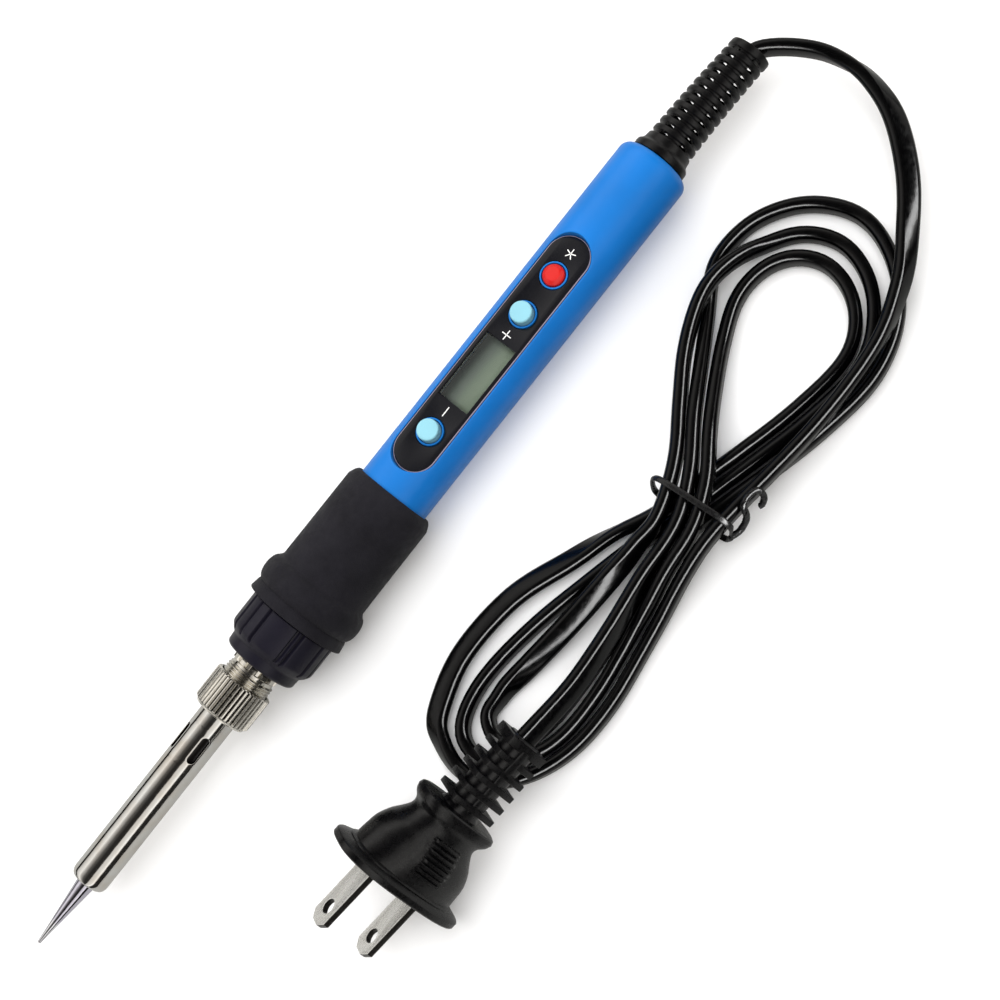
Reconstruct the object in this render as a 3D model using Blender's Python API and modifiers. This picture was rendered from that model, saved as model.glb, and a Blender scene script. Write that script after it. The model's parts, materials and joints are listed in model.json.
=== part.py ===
"""An adjustable soldering iron with its mains cord tied in a hank, as separate solids.

The frame: the bench is z = 0, the iron lies along X with its tip at +X and its control
panel facing up, and the hank and the plug lie beside it at +Y. The origin is on the bench
under the thickest ring of the grip, where the iron rests. Lengths are written in
millimetres and turned into metres by MM.
"""

import math

import bmesh
import bpy
from mathutils import Matrix, Vector

MM = 0.001
GAP = 0.3  # clearance between pieces that touch on the real iron

# Stations along the iron, X in millimetres
TIP_END = 93.0
BARREL_FRONT = 76.4
NUT_FRONT, NUT_REAR = 31.1, 22.4
THREAD_REAR = 19.2
NOSE_FRONT, NOSE_REAR = 17.5, 5.5
GRIP_REAR = -28.7
HANDLE_REAR, REAR_WALL = -118.7, 2.0
BOOT_REAR = -149.6

# Radii and heights
AXIS_Z = 12.0
GRIP_RING_R = 12.35
HANDLE_R, HANDLE_BORE = 8.4, 7.0
BARREL_R, BARREL_BORE = 4.2, 3.7
TIP_SLEEVE_R, TIP_CONE_R, TIP_BORE = 3.2, 2.1, 2.15
HEATER_R = 1.85
THREAD_R, THREAD_PITCH = 5.6, 0.75
NUT_R, NUT_BORE = 6.75, 5.9

# The control panel, heights above the iron's axis
PANEL_FRONT, PANEL_REAR, PANEL_WIDTH = -33.8, -95.4, 10.7
PANEL_TOP, PANEL_THICK = 6.4, 1.2
DECK_TOP, DECK_THICK = 5.0, 0.8
LCD_X, LCD_LENGTH, LCD_WIDTH = -59.6, 16.6, 8.2
BUTTONS = {"minus": -43.8, "plus": -75.1, "set": -85.5}
BUTTON_R, BUTTON_HOLE, BOSS_R = 2.45, 2.7, 3.05
CAP_TOP = {"minus": 8.9, "plus": 8.9, "set": 7.9}
PCB_TOP, PCB_THICK, PCB_WIDTH = 0.0, 1.2, 11.0
BOARD_FRONT, BOARD_REAR = -30.5, -98.0

# The flat two-core cord
CORE_R, CORE_SHIFT = 1.55, 1.05
LOW, HIGH = 2.75, 8.3  # heights of the two layers of the hank
WAIST_X, WAIST_LIFT = -66.0, 1.0
LOW_SLOPE = -0.27  # how the lower strands run across the waist, in y per x

# The plug, in its own frame: +X out of the flange face, Y across both blades
PLUG_AT, PLUG_ROLL, PLUG_YAW = (31.8, 52.6, 15.1), -47.0, -5.0
FLANGE_HALF = (16.7, 8.9)
BLADE = (16.0, 1.5, 6.35)
BLADE_SPACING = 12.7
RELIEF_END = -39.2

# sRGB colours, roughness and metallic value of each material
FINISHES = {
    "blue_plastic": ((0.17, 0.52, 0.86), 0.35, 0.0),
    "cap_blue": ((0.58, 0.85, 0.94), 0.35, 0.0),
    "cap_red": ((0.90, 0.15, 0.12), 0.35, 0.0),
    "panel_black": ((0.03, 0.03, 0.035), 0.12, 0.0),
    "lcd_grey": ((0.45, 0.50, 0.46), 0.15, 0.0),
    "grip_rubber": ((0.07, 0.07, 0.08), 0.75, 0.0),
    "nose_black": ((0.09, 0.09, 0.11), 0.45, 0.0),
    "nickel": ((0.72, 0.70, 0.66), 0.28, 1.0),
    "steel": ((0.75, 0.75, 0.77), 0.15, 1.0),
    "tip_plating": ((0.60, 0.58, 0.66), 0.30, 1.0),
    "ceramic": ((0.90, 0.88, 0.84), 0.60, 0.0),
    "pvc_black": ((0.05, 0.05, 0.06), 0.35, 0.0),
    "board_green": ((0.06, 0.30, 0.16), 0.45, 0.0),
    "part_black": ((0.08, 0.08, 0.09), 0.55, 0.0),
    "film_yellow": ((0.85, 0.62, 0.12), 0.50, 0.0),
    "clear": ((0.55, 0.60, 0.56), 0.05, 0.0),
    "wire_red": ((0.75, 0.12, 0.10), 0.45, 0.0),
    "wire_white": ((0.90, 0.90, 0.88), 0.45, 0.0),
    "wire_blue": ((0.15, 0.30, 0.70), 0.45, 0.0),
    "wire_brown": ((0.36, 0.20, 0.11), 0.45, 0.0),
}


# ---------------------------------------------------------------- scene and materials
def clear_scene():
    for obj in list(bpy.data.objects):
        bpy.data.objects.remove(obj, do_unlink=True)


def new_collection(name):
    collection = bpy.data.collections.new(name)
    bpy.context.scene.collection.children.link(collection)
    return collection


def linear(channel):
    return channel / 12.92 if channel <= 0.04045 else ((channel + 0.055) / 1.055) ** 2.4


def finish(name):
    """The material called name, made when it is first asked for."""
    if name in bpy.data.materials:
        return bpy.data.materials[name]
    colour, roughness, metallic = FINISHES[name]
    material = bpy.data.materials.new(name)
    material.use_nodes = True
    shader = material.node_tree.nodes["Principled BSDF"]
    shader.inputs["Base Color"].default_value = (*[linear(c) for c in colour], 1.0)
    shader.inputs["Roughness"].default_value = roughness
    shader.inputs["Metallic"].default_value = metallic
    return material


def empty(name, location_mm, rotation_deg=(0, 0, 0)):
    frame = bpy.data.objects.new(name, None)
    frame.location = Vector(location_mm) * MM
    frame.rotation_euler = [math.radians(a) for a in rotation_deg]
    PARTS.objects.link(frame)
    return frame


def add(name, mesh, material, parent=None, location_mm=(0, 0, 0)):
    """A finished sub-part in the parts collection."""
    obj = bpy.data.objects.new(name, mesh)
    obj.location = Vector(location_mm) * MM
    obj.parent = parent
    PARTS.objects.link(obj)
    if material:
        mesh.materials.append(finish(material))
    return obj


def as_cutter(obj):
    """Hides a helper from the render and moves it to the cutters' collection."""
    PARTS.objects.unlink(obj)
    CUTTERS.objects.link(obj)
    obj.hide_render = True
    obj.display_type = "WIRE"
    return obj


def smooth(obj, angle=35):
    obj.data.shade_smooth()
    if obj.type == "MESH":
        obj.data.set_sharp_from_angle(angle=math.radians(angle))


# ---------------------------------------------------------------- shape helpers
def turned(name, profile, material, parent, steps=28, location_mm=(0, 0, 0)):
    """A profile of (height, radius) turned round its frame's Z, listed from the top of its
    outer side downwards and back up its inner side, if it has one."""
    mesh = bpy.data.meshes.new(name)
    points = [(radius * MM, 0, height * MM) for height, radius in profile]
    edges = [(i, i + 1) for i in range(len(points) - 1)]
    if all(radius > 0 for _, radius in profile):
        edges.append((len(points) - 1, 0))
    mesh.from_pydata(points, edges, [])
    obj = add(name, mesh, material, parent, location_mm)
    screw = obj.modifiers.new("Turn", "SCREW")
    screw.steps = screw.render_steps = steps
    screw.use_merge_vertices = True
    screw.merge_threshold = 0.00001
    screw.use_smooth_shade = True
    return obj


def box(name, size_mm, material, parent, location_mm=(0, 0, 0), bevel=0.0):
    mesh = bpy.data.meshes.new(name)
    shape = bmesh.new()
    scale = Matrix.Diagonal((*[s * MM for s in size_mm], 1.0))
    bmesh.ops.create_cube(shape, size=1.0, matrix=scale)
    shape.to_mesh(mesh)
    shape.free()
    obj = add(name, mesh, material, parent, location_mm)
    if bevel:
        edge = obj.modifiers.new("Edges", "BEVEL")
        edge.width = bevel * MM
        edge.segments = 2
    return obj


def cylinder(name, radius, depth, material, parent, location_mm, steps=20):
    mesh = bpy.data.meshes.new(name)
    shape = bmesh.new()
    bmesh.ops.create_cone(
        shape, cap_ends=True, segments=steps, depth=depth * MM, radius1=radius * MM, radius2=radius * MM
    )
    shape.to_mesh(mesh)
    shape.free()
    return add(name, mesh, material, parent, location_mm)


def evaluated_mesh(obj):
    """The object's mesh with its modifiers, and a curve's caps welded to its sides."""
    bpy.context.view_layer.update()
    graph = bpy.context.evaluated_depsgraph_get()
    mesh = bpy.data.meshes.new_from_object(obj.evaluated_get(graph))
    shape = bmesh.new()
    shape.from_mesh(mesh)
    bmesh.ops.remove_doubles(shape, verts=shape.verts, dist=1e-7)
    bmesh.ops.recalc_face_normals(shape, faces=shape.faces)
    shape.to_mesh(mesh)
    shape.free()
    return mesh


def plate(name, outline, thickness, material, parent, location_mm):
    """A flat outline of (x, y) points made into a plate, centred on its frame's XY plane."""
    curve = bpy.data.curves.new(name, "CURVE")
    curve.dimensions = "2D"
    curve.fill_mode = "BOTH"
    curve.extrude = thickness * MM / 2
    spline = curve.splines.new("POLY")
    spline.points.add(len(outline) - 1)
    spline.use_cyclic_u = True
    for point, (x, y) in zip(spline.points, outline):
        point.co = (x * MM, y * MM, 0, 1)
    guide = add(name + "_outline", curve, None)
    mesh = evaluated_mesh(guide)
    bpy.data.objects.remove(guide, do_unlink=True)
    mesh.materials.clear()
    return add(name, mesh, material, parent, location_mm)


def stadium(length, width, steps=8):
    """The outline of a plate with half-round ends, long side along X."""
    radius = width / 2
    reach = length / 2 - radius
    ends = []
    for centre, start in ((reach, -90), (-reach, 90)):
        for i in range(steps + 1):
            angle = math.radians(start + 180 * i / steps)
            ends.append((centre + radius * math.cos(angle), radius * math.sin(angle)))
    return ends


def cut(obj, cutters, operation="DIFFERENCE"):
    for cutter in cutters:
        boolean = obj.modifiers.new(cutter.name, "BOOLEAN")
        boolean.operation = operation
        boolean.object = as_cutter(cutter)


def cut_with_all(obj, cutters):
    """One Boolean for a set of cutters that don't touch one another."""
    group = bpy.data.collections.new(obj.name + "_cutters")
    CUTTERS.children.link(group)
    for cutter in cutters:
        as_cutter(cutter)
        CUTTERS.objects.unlink(cutter)
        group.objects.link(cutter)
    boolean = obj.modifiers.new("Cuts", "BOOLEAN")
    boolean.operand_type = "COLLECTION"
    boolean.collection = group


def wire(name, points, radius, material, resolution=1):
    """A round wire through points given in millimetres."""
    curve = bpy.data.curves.new(name, "CURVE")
    curve.dimensions = "3D"
    curve.bevel_depth = radius * MM
    curve.bevel_resolution = resolution
    curve.use_fill_caps = True
    spline = curve.splines.new("POLY")
    spline.points.add(len(points) - 1)
    for point, at in zip(spline.points, points):
        point.co = (*[c * MM for c in at], 1)
    spline.use_smooth = True
    return add(name, curve, material)


def rounded(x, radius_from, radius_to, length, steps=3):
    """A quarter-round step of a profile that runs from radius_from at x down to x - length."""
    points = []
    for i in range(steps + 1):
        angle = math.pi / 2 * i / steps
        if radius_from < radius_to:
            height, radius = 1 - math.cos(angle), math.sin(angle)
            points.append((x - length * height, radius_from + (radius_to - radius_from) * radius))
        else:
            height, radius = math.sin(angle), math.cos(angle)
            points.append((x - length * height, radius_to + (radius_from - radius_to) * radius))
    return points


def ring_of_boxes(name, axis, count, size, radius, x, first_deg=0.0):
    """Cutters spaced evenly round the iron's axis at x, each with its Y pointing outwards."""
    ring = []
    for turn in range(count):
        angle = math.radians(first_deg) + 2 * math.pi * turn / count
        piece = box(name, size, None, axis)
        piece.rotation_euler = (0, 0, angle)
        piece.location = Vector((-math.sin(angle) * radius, math.cos(angle) * radius, x)) * MM
        ring.append(piece)
    return ring


# ---------------------------------------------------------------- heated end
def make_tip(axis):
    """The conical bit: a hollow sleeve that slides over the heater, held by the barrel."""
    shoulder = BARREL_FRONT - 1.6
    sleeve_rear, bore_end = 50.0, 71.8
    profile = [
        (TIP_END, 0.0),
        (TIP_END, 0.25),
        (TIP_END - 0.3, 0.42),
        (BARREL_FRONT, TIP_CONE_R),
        (shoulder, TIP_CONE_R + 0.1),
        (shoulder, TIP_SLEEVE_R - 0.3),
        (shoulder - 0.3, TIP_SLEEVE_R),
        (sleeve_rear + 0.3, TIP_SLEEVE_R),
        (sleeve_rear, TIP_SLEEVE_R - 0.3),
        (sleeve_rear, TIP_BORE),
        (bore_end, TIP_BORE),
        (bore_end + 0.8, 0.0),
    ]
    turned("tip", profile, "tip_plating", axis)


def make_barrel(axis):
    """The thin steel sleeve that carries the tip, with four vent slots and a rear flange."""
    flange_front, flange_rear = 29.3, 28.5
    rim, mouth = 1.2, 2.6
    profile = rounded(BARREL_FRONT, BARREL_R - rim, BARREL_R, rim, 4)
    profile += [
        (flange_front, BARREL_R),
        (flange_front, NUT_BORE - 2 * GAP),
        (flange_rear, NUT_BORE - 2 * GAP),
        (flange_rear, BARREL_BORE),
        (BARREL_FRONT - 1.1, BARREL_BORE),
        (BARREL_FRONT - 0.5, mouth),
        (BARREL_FRONT, mouth),
    ]
    barrel = turned("barrel", profile, "steel", axis, steps=32)
    slots = ring_of_boxes("vent_slot", axis, 4, (1.85, 12.0, 6.5), 6.0, 39.25, 50.75)
    cut_with_all(barrel, slots)


def make_nut(axis):
    """The knurled nut: a ring of straight flutes cut to a turned and chamfered blank."""
    flutes, depth = 40, 0.35
    collar_rear = 29.6
    outline = []
    for i in range(2 * flutes):
        radius = NUT_R if i % 2 == 0 else NUT_R - depth
        angle = math.pi * i / flutes
        outline.append((radius * math.cos(angle), radius * math.sin(angle)))
    length = NUT_FRONT - NUT_REAR
    middle = (NUT_FRONT + NUT_REAR) / 2
    nut = plate("knurled_nut", outline, length + 1, "nickel", axis, (0, 0, middle))
    blank = [
        (NUT_FRONT - middle, 5.4),
        (NUT_FRONT - middle - 0.9, NUT_R + 0.1),
        (NUT_REAR - middle + 0.4, NUT_R + 0.1),
        (NUT_REAR - middle, NUT_R - 0.5),
        (NUT_REAR - middle, NUT_BORE),
        (collar_rear - middle, NUT_BORE),
        (collar_rear - middle, BARREL_R + GAP),
        (NUT_FRONT - middle, BARREL_R + GAP),
    ]
    cut(nut, [turned("nut_blank", blank, None, axis, 32, (0, 0, middle))], "INTERSECT")


def make_threaded_insert(axis):
    """The metal insert that carries the nut: thread, castellated lugs, neck and rear flange."""
    front, flange_front, flange_rear = 28.2, 9.6, 7.4
    root, neck, flange, bore = THREAD_R - 0.45, 4.6, 5.1, 3.0
    profile = []
    trough = front
    while trough - THREAD_PITCH > THREAD_REAR:
        profile += [(trough, root), (trough - THREAD_PITCH / 2, THREAD_R)]
        trough -= THREAD_PITCH
    profile += [
        (THREAD_REAR, root),
        (THREAD_REAR, THREAD_R - 0.2),
        (NOSE_FRONT + GAP, THREAD_R - 0.2),
        (NOSE_FRONT + GAP, neck),
        (flange_front, neck),
        (flange_front, flange),
        (flange_rear, flange),
        (flange_rear, bore),
        (front, bore),
    ]
    insert = turned("threaded_insert", profile, "nickel", axis, steps=20)
    notches = ring_of_boxes("lug_notch", axis, 12, (1.15, 2.0, 1.6), THREAD_R + 0.1, 18.1)
    cut_with_all(insert, notches)


def make_nose_piece(axis):
    """The black nose that screws the heater and the insert into the handle. Its flutes repeat
    three times round it at uneven spacing, which leaves wide and narrow ribs."""
    body_r, collar_r = 10.3, 8.4
    spigot_rear, seat, spigot_bore = -6.0, 9.9, 5.4
    profile = [
        (NOSE_FRONT, collar_r - 0.4),
        (NOSE_FRONT - 0.4, collar_r),
        (14.6, collar_r),
        (13.5, body_r - 0.5),
        (13.0, body_r),
        (NOSE_REAR, body_r),
        (NOSE_REAR, HANDLE_BORE - GAP),
        (spigot_rear, HANDLE_BORE - GAP),
        (spigot_rear, spigot_bore),
        (seat, spigot_bore),
        (seat, spigot_bore - 0.5),
        (NOSE_FRONT, spigot_bore - 0.5),
    ]
    nose = turned("nose_piece", profile, "nose_black", axis, steps=40)
    first_flutes, sectors = (48.5, 56.0, 98.0, 116.5, 135.0), 3
    flutes = []
    for first in first_flutes:
        flutes += ring_of_boxes("flute", axis, sectors, (1.0, 1.6, 8.6), body_r + 0.1, 10.1, first)
    cut_with_all(nose, flutes)


def make_heater(axis):
    """The ceramic heater rod, its base disc, and the four leads that run back to the board."""
    end, rear = 71.0, -2.0
    rod = [(end, 0.0), (end, 1.5), (end - 0.4, HEATER_R), (rear, HEATER_R), (rear, 0.0)]
    turned("heater_rod", rod, "ceramic", axis, steps=16)
    front, back, disc_r, hole = 6.9, 2.2, 4.9, HEATER_R + GAP
    base = [(front, disc_r), (back, disc_r), (back, hole), (front, hole)]
    turned("heater_base", base, "ceramic", axis, steps=20)
    leads = {
        "heater_lead_1": (1.0, 0.9, "wire_red"),
        "heater_lead_2": (-1.0, 0.9, "wire_red"),
        "sensor_lead_1": (1.0, -0.9, "wire_white"),
        "sensor_lead_2": (-1.0, -0.9, "wire_blue"),
    }
    for name, (y, z, colour) in leads.items():
        points = [(rear - 0.4, y, AXIS_Z + z)]
        points.append((-16.0, 3.2 * y, AXIS_Z + 1.6 * z - 1.5))
        points.append((BOARD_FRONT + 0.6, 3.2 * y, AXIS_Z + 0.9 * z - 0.6))
        wire(name, points, 0.45, colour)


# ---------------------------------------------------------------- handle and grip
def make_grip(axis):
    """The soft sleeve: a lip and a thick ring at the front that keep fingers off the heat.
    The ring has a narrow flat underneath, so the iron doesn't roll."""
    lip_r, sleeve_r, ring_foot = 11.9, 10.55, 11.0
    ring_x, ring_reach, steps = -0.6, 3.1, 8
    profile = [(NOSE_REAR - GAP, lip_r), (2.1, lip_r)]
    for i in range(1, steps):
        angle = math.pi * i / steps
        x = ring_x + ring_reach * math.cos(angle)
        profile.append((x, ring_foot + (GRIP_RING_R - ring_foot) * math.sin(angle)))
    profile.append((-4.3, sleeve_r))
    profile += rounded(GRIP_REAR + 2.1, sleeve_r, HANDLE_R + 0.6, 2.1)
    profile += [(GRIP_REAR, HANDLE_R + GAP), (NOSE_REAR - GAP, HANDLE_R + GAP)]
    grip = turned("grip_sleeve", profile, "grip_rubber", axis, steps=32)
    below = box("bench_plane", (40, 40, 10), None, None, (0, 0, -5))
    cut(grip, [below])


def make_shell(axis, panel):
    """The tubular handle: a long bore, a deck under the panel's pocket, ledges that carry the
    board, and a rear wall that keeps the cord boot in."""
    front, edge, outlet = NOSE_REAR - 2 * GAP, 2.3, 5.7
    profile = [(front, HANDLE_R)]
    profile += rounded(HANDLE_REAR + edge, HANDLE_R, HANDLE_R - edge, edge)
    profile += [
        (HANDLE_REAR, outlet),
        (HANDLE_REAR + REAR_WALL, outlet),
        (HANDLE_REAR + REAR_WALL, HANDLE_BORE),
        (front, HANDLE_BORE),
    ]
    shell = turned("handle_shell", profile, "blue_plastic", axis, steps=32)
    joined = []
    length = PANEL_FRONT - PANEL_REAR
    middle = (PANEL_FRONT + PANEL_REAR) / 2
    deck_z = DECK_TOP - DECK_THICK / 2
    joined.append(box("deck", (length + 6, 11.6, DECK_THICK), None, panel, (middle, 0, deck_z)))
    for side in (-1, 1):
        ledge = box("ledge", (length, 1.9, 1.0), None, panel, (middle, side * 6.05, -2.0))
        joined.append(ledge)
    cut(shell, joined, "UNION")
    pocket = plate("pocket", stadium(length, PANEL_WIDTH), 4.0, None, panel, (middle, 0, DECK_TOP + 2))
    cut(shell, [pocket])
    bosses = []
    foot, top = DECK_TOP - 0.4, PANEL_TOP + 0.15
    for name, x in BUTTONS.items():
        at = (x, 0, (foot + top) / 2)
        bosses.append(cylinder("boss_" + name, BOSS_R, top - foot, None, panel, at))
    cut(shell, bosses, "UNION")
    holes = [box("lcd_opening", (17.6, 8.6, 3), None, panel, (LCD_X, 0, DECK_TOP))]
    for name, x in BUTTONS.items():
        holes.append(cylinder("hole_" + name, BUTTON_HOLE, 6, None, panel, (x, 0, DECK_TOP)))
    cut(shell, holes)


def make_panel(panel):
    """The glossy overlay plate, its display window, the display glass and contact strips."""
    length = PANEL_FRONT - PANEL_REAR - 2 * GAP
    middle = (PANEL_FRONT + PANEL_REAR) / 2
    outline = stadium(length, PANEL_WIDTH - 2 * GAP)
    at = (middle, 0, PANEL_TOP - PANEL_THICK / 2 + 0.05)
    overlay = plate("panel_overlay", outline, PANEL_THICK - 0.1, "panel_black", panel, at)
    holes = [box("window_hole", (LCD_LENGTH, LCD_WIDTH, 3), None, panel, (LCD_X, 0, PANEL_TOP))]
    for name, x in BUTTONS.items():
        hole = cylinder("overlay_" + name, BOSS_R + 0.25, 3, None, panel, (x, 0, PANEL_TOP))
        holes.append(hole)
    cut_with_all(overlay, holes)
    window = (LCD_LENGTH - 0.4, LCD_WIDTH - 0.4, 0.9)
    box("lcd_window", window, "clear", panel, (LCD_X, 0, PANEL_TOP - 0.6))
    box("lcd_glass", (19.0, 9.6, 1.0), "lcd_grey", panel, (LCD_X, 0, 3.3))
    for name, side in (("contact_strip_front", 1), ("contact_strip_rear", -1)):
        box(name, (1.4, 8.6, 2.2), "part_black", panel, (LCD_X + side * 7.6, 0, 1.5))


def make_board(panel):
    """The circuit board, with the power parts hanging below it."""
    length = BOARD_FRONT - BOARD_REAR
    at = ((BOARD_FRONT + BOARD_REAR) / 2, 0, PCB_TOP - PCB_THICK / 2 - 0.05)
    box("circuit_board", (length, PCB_WIDTH, PCB_THICK - 0.1), "board_green", panel, at)
    below = PCB_TOP - PCB_THICK - GAP
    box("controller_chip", (5.0, 4.0, 1.4), "part_black", panel, (-52, 0, below - 0.7), 0.15)
    box("triac", (6.5, 6.1, 2.3), "part_black", panel, (-64, 0, below - 1.15), 0.2)
    box("film_capacitor", (10.0, 6.0, 4.6), "film_yellow", panel, (-78, 0, below - 2.3), 0.5)
    can = [(4.6, 0.0), (4.6, 1.8), (4.3, 2.2), (-4.3, 2.2), (-4.6, 1.9), (-4.6, 0.0)]
    frame = empty("capacitor_frame", (-90, 0, AXIS_Z + below - 2.25), (0, 90, 0))
    turned("electrolytic_capacitor", can, "part_black", frame, steps=16)


def make_buttons(panel):
    """Three push buttons: a capped stem held under the deck, a switch plunger and its switch."""
    stem_z, flange_top = 3.3, 3.9
    for name, x in BUTTONS.items():
        top = CAP_TOP[name]
        crown = 0.5 if name != "set" else 0.9
        profile = [(top, 0.0), (top, BUTTON_R - crown)]
        profile += [(top - 0.3 * crown, BUTTON_R - 0.4 * crown), (top - crown, BUTTON_R)]
        profile += [(flange_top, BUTTON_R), (flange_top, 3.2), (stem_z, 3.2), (stem_z, 0.0)]
        colour = "cap_red" if name == "set" else "cap_blue"
        turned("button_" + name, profile, colour, panel, 24, (x, 0, 0))
        plunger = [(3.0, 0.0), (3.0, 1.1), (1.2, 1.1), (1.2, 0.0)]
        turned("plunger_" + name, plunger, "part_black", panel, 12, (x, 0, 0))
        switch = box("switch_" + name, (4.5, 4.5, 2.2), "part_black", panel, (x, 0, 1.4))
        well = cylinder("well_" + name, 1.4, 2.6, None, panel, (x, 0, 1.9), 12)
        cut(switch, [well])


# ---------------------------------------------------------------- boot, cord and tie
def boot_droop(x):
    """How far the boot and the cord inside it sag towards +Y at x."""
    reach = max(0.0, (HANDLE_REAR - 2.5 - x) / (HANDLE_REAR - 2.5 - BOOT_REAR))
    return 1.1 * reach * reach


def make_boot(axis):
    """The slotted bend relief: twelve rings joined by struts, so it bends but doesn't kink. The
    boot sits a little twisted in the handle, which leans its windows towards +Y."""
    rings, pitch, slot, lean = 12, 2.16, 0.95, 18
    first, front = HANDLE_REAR - 4.4, -113.8
    head, neck, collar, end, edge = HANDLE_BORE - 0.4, 5.4, 6.5, 4.8, 0.8
    profile = [(front, 0.0)] + rounded(front, 5.0, head, 1.2, 2)
    profile += [
        (HANDLE_REAR + REAR_WALL + GAP, head),
        (HANDLE_REAR + REAR_WALL + GAP, neck),
        (HANDLE_REAR - GAP, neck),
        (HANDLE_REAR - GAP, collar),
    ]
    profile += rounded(HANDLE_REAR - 1.9, collar, neck, edge, 2)
    for ring in range(rings):
        x = first - pitch * ring
        radius = neck + (end - neck) * (ring + 0.5) / rings
        profile += [(x, radius), (x - slot / 2, radius - 0.5), (x - slot, radius)]
    profile += rounded(BOOT_REAR + edge, end, end - edge, edge, 2)
    profile.append((BOOT_REAR, 0.0))
    blank = turned("boot_blank", profile, None, axis, steps=16)
    twist = empty("boot_twist", (0, 0, AXIS_Z), (-lean, 0, 0))
    windows = []
    for ring in range(rings):
        x = first - pitch * ring - slot / 2
        for side in (-1, 1):
            windows.append(box("boot_window", (slot, 1.3, 14), None, twist, (x, side * 2.9, 0)))
    cut_with_all(blank, windows)
    bore = plate("boot_bore", stadium(6.2, 4.4, 6), 60, None, axis, (0, 0, -130))
    cut(blank, [bore])
    mesh = evaluated_mesh(blank)
    mesh.transform(axis.matrix_world)
    bpy.data.objects.remove(blank, do_unlink=True)
    for vertex in mesh.vertices:
        vertex.co.y += boot_droop(vertex.co.x / MM) * MM
    mesh.materials.clear()
    smooth(add("cord_boot", mesh, "pvc_black"))


def lead_in():
    """From inside the handle, out of the boot and round the outside of the hank's top lobe."""
    inside = [(x, boot_droop(x), AXIS_Z, 0) for x in (-106, -118, -130, -142, BOOT_REAR)]
    return inside + [
        (-153.6, 5.2, 11.9, 0),
        (-157.2, 11.2, 11.3, 0),
        (-159.0, 18.2, 10.6, 12),
        (-158.2, 27.0, 10.0, 40),
        (-153.8, 36.0, 9.5, 65),
        (-146.6, 44.0, 9.1, 75),
        (-137.0, 51.2, 8.9, 60),
        (-126.0, 57.4, 8.8, 30),
        (-111.0, 61.0, HIGH + 0.1, 0),
        (-95.0, 61.3, HIGH, 0),
        (-80.0, 60.1, HIGH + 0.4, 0),
    ]


def lower_loop(nest, first, last):
    """One turn of the lobe nearest the tip, from its right side at the waist round the bottom
    to its left side at the waist. nest is 0 for the outer turn and 2 for the inner one."""
    inset, squeeze = 3.65 * nest, 8.0 * nest
    roll = 75 if nest == 0 else 0
    return first + [
        (-36.0, 61.1 - inset, LOW, 0),
        (-22.0, 63.0 - inset, LOW, 0),
        (-10.0, 62.3 - 0.93 * inset, LOW, 0),
        (-0.5 - 0.5 * inset, 58.6 - 0.86 * inset, LOW, 0),
        (5.6 - 0.86 * inset, 53.4 - 0.57 * inset, LOW, 0),
        (7.8 - 1.15 * inset, 46.8, LOW, roll / 4),
        (6.0 - 1.1 * inset, 39.9 + 0.55 * inset, LOW, roll / 2),
        (-0.4 - 1.0 * inset, 34.0 + 0.63 * squeeze, LOW, roll),
        (-10.0 - 0.6 * inset, 31.2 + 0.88 * squeeze, LOW, roll),
        (-26.0, 31.8 + squeeze, LOW, roll),
    ] + last


def upper_loop(turns, first, last):
    """One turn of the lobe nearest the boot, from its right side round the top to its left
    side. turns names how far out it lies: 0 is the inner turn and 2 the outer one."""
    step = (0.0, 4.8, 11.0)[turns]
    return first + [
        (-110.0, 56.4 + 3.6 * turns, LOW, 0),
        (-117.0 - 0.45 * step, 53.2 + 0.62 * step, LOW, 0),
        (-121.8 - 0.88 * step, 47.4 + 0.40 * step, LOW, 0),
        (-123.4 - 1.14 * step, 40.4, LOW, 0),
        (-120.8 - 1.02 * step, 34.2 - 0.42 * step, LOW, 0),
        (-115.0 - 0.85 * step, 30.4 - 0.65 * step, LOW, 0),
    ] + last


def waist(y, layer, slope):
    """Two points that carry a strand across the tied waist at y, rising by slope."""
    return [(WAIST_X + dx, y + slope * dx, layer + WAIST_LIFT, 0) for dx in (-5.0, 5.0)]


def outer_turns():
    """The outer and middle turns of the bottom lobe, and the inner and middle of the top one."""
    falling = [(-52.0, 59.1, 7.0, 0), (-45.0, 59.9, 4.2, 0)]
    path = lower_loop(0, falling, [(-41.0, 37.0, LOW, 60), (-52.0, 41.4, LOW + 0.4, 15)])
    path += list(reversed(waist(47.4, LOW, LOW_SLOPE)))
    right = [(-80.0, 51.2, LOW + 0.4, 0), (-95.0, 54.9, LOW, 0)]
    left = [(-107.0, 29.8, LOW, 0), (-98.0, 33.4, 3.6, 0)]
    left += [(-89.0, 38.6, 6.0, 0), (-79.6, 44.8, 8.7, 0)]
    path += upper_loop(0, right, left)
    path += waist(53.0, HIGH, 0.40)
    falling = [(-52.0, 55.7, 8.7, 0), (-44.0, 56.8, 6.2, 0)]
    path += lower_loop(1, falling, [(-40.0, 43.0, LOW, 0), (-52.0, 46.2, LOW + 0.4, 0)])
    path += list(reversed(waist(51.1, LOW, LOW_SLOPE)))
    right = [(-80.0, 54.9, LOW + 0.4, 0), (-95.0, 58.5, LOW, 0)]
    left = [(-113.0, 25.2, 6.0, 0), (-104.0, 24.6, HIGH + 0.3, 0)]
    left += [(-92.0, 28.8, 8.7, 0), (-80.4, 36.3, 9.1, 0)]
    path += upper_loop(1, right, left)
    return path + waist(44.9, HIGH, 0.42)


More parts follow.
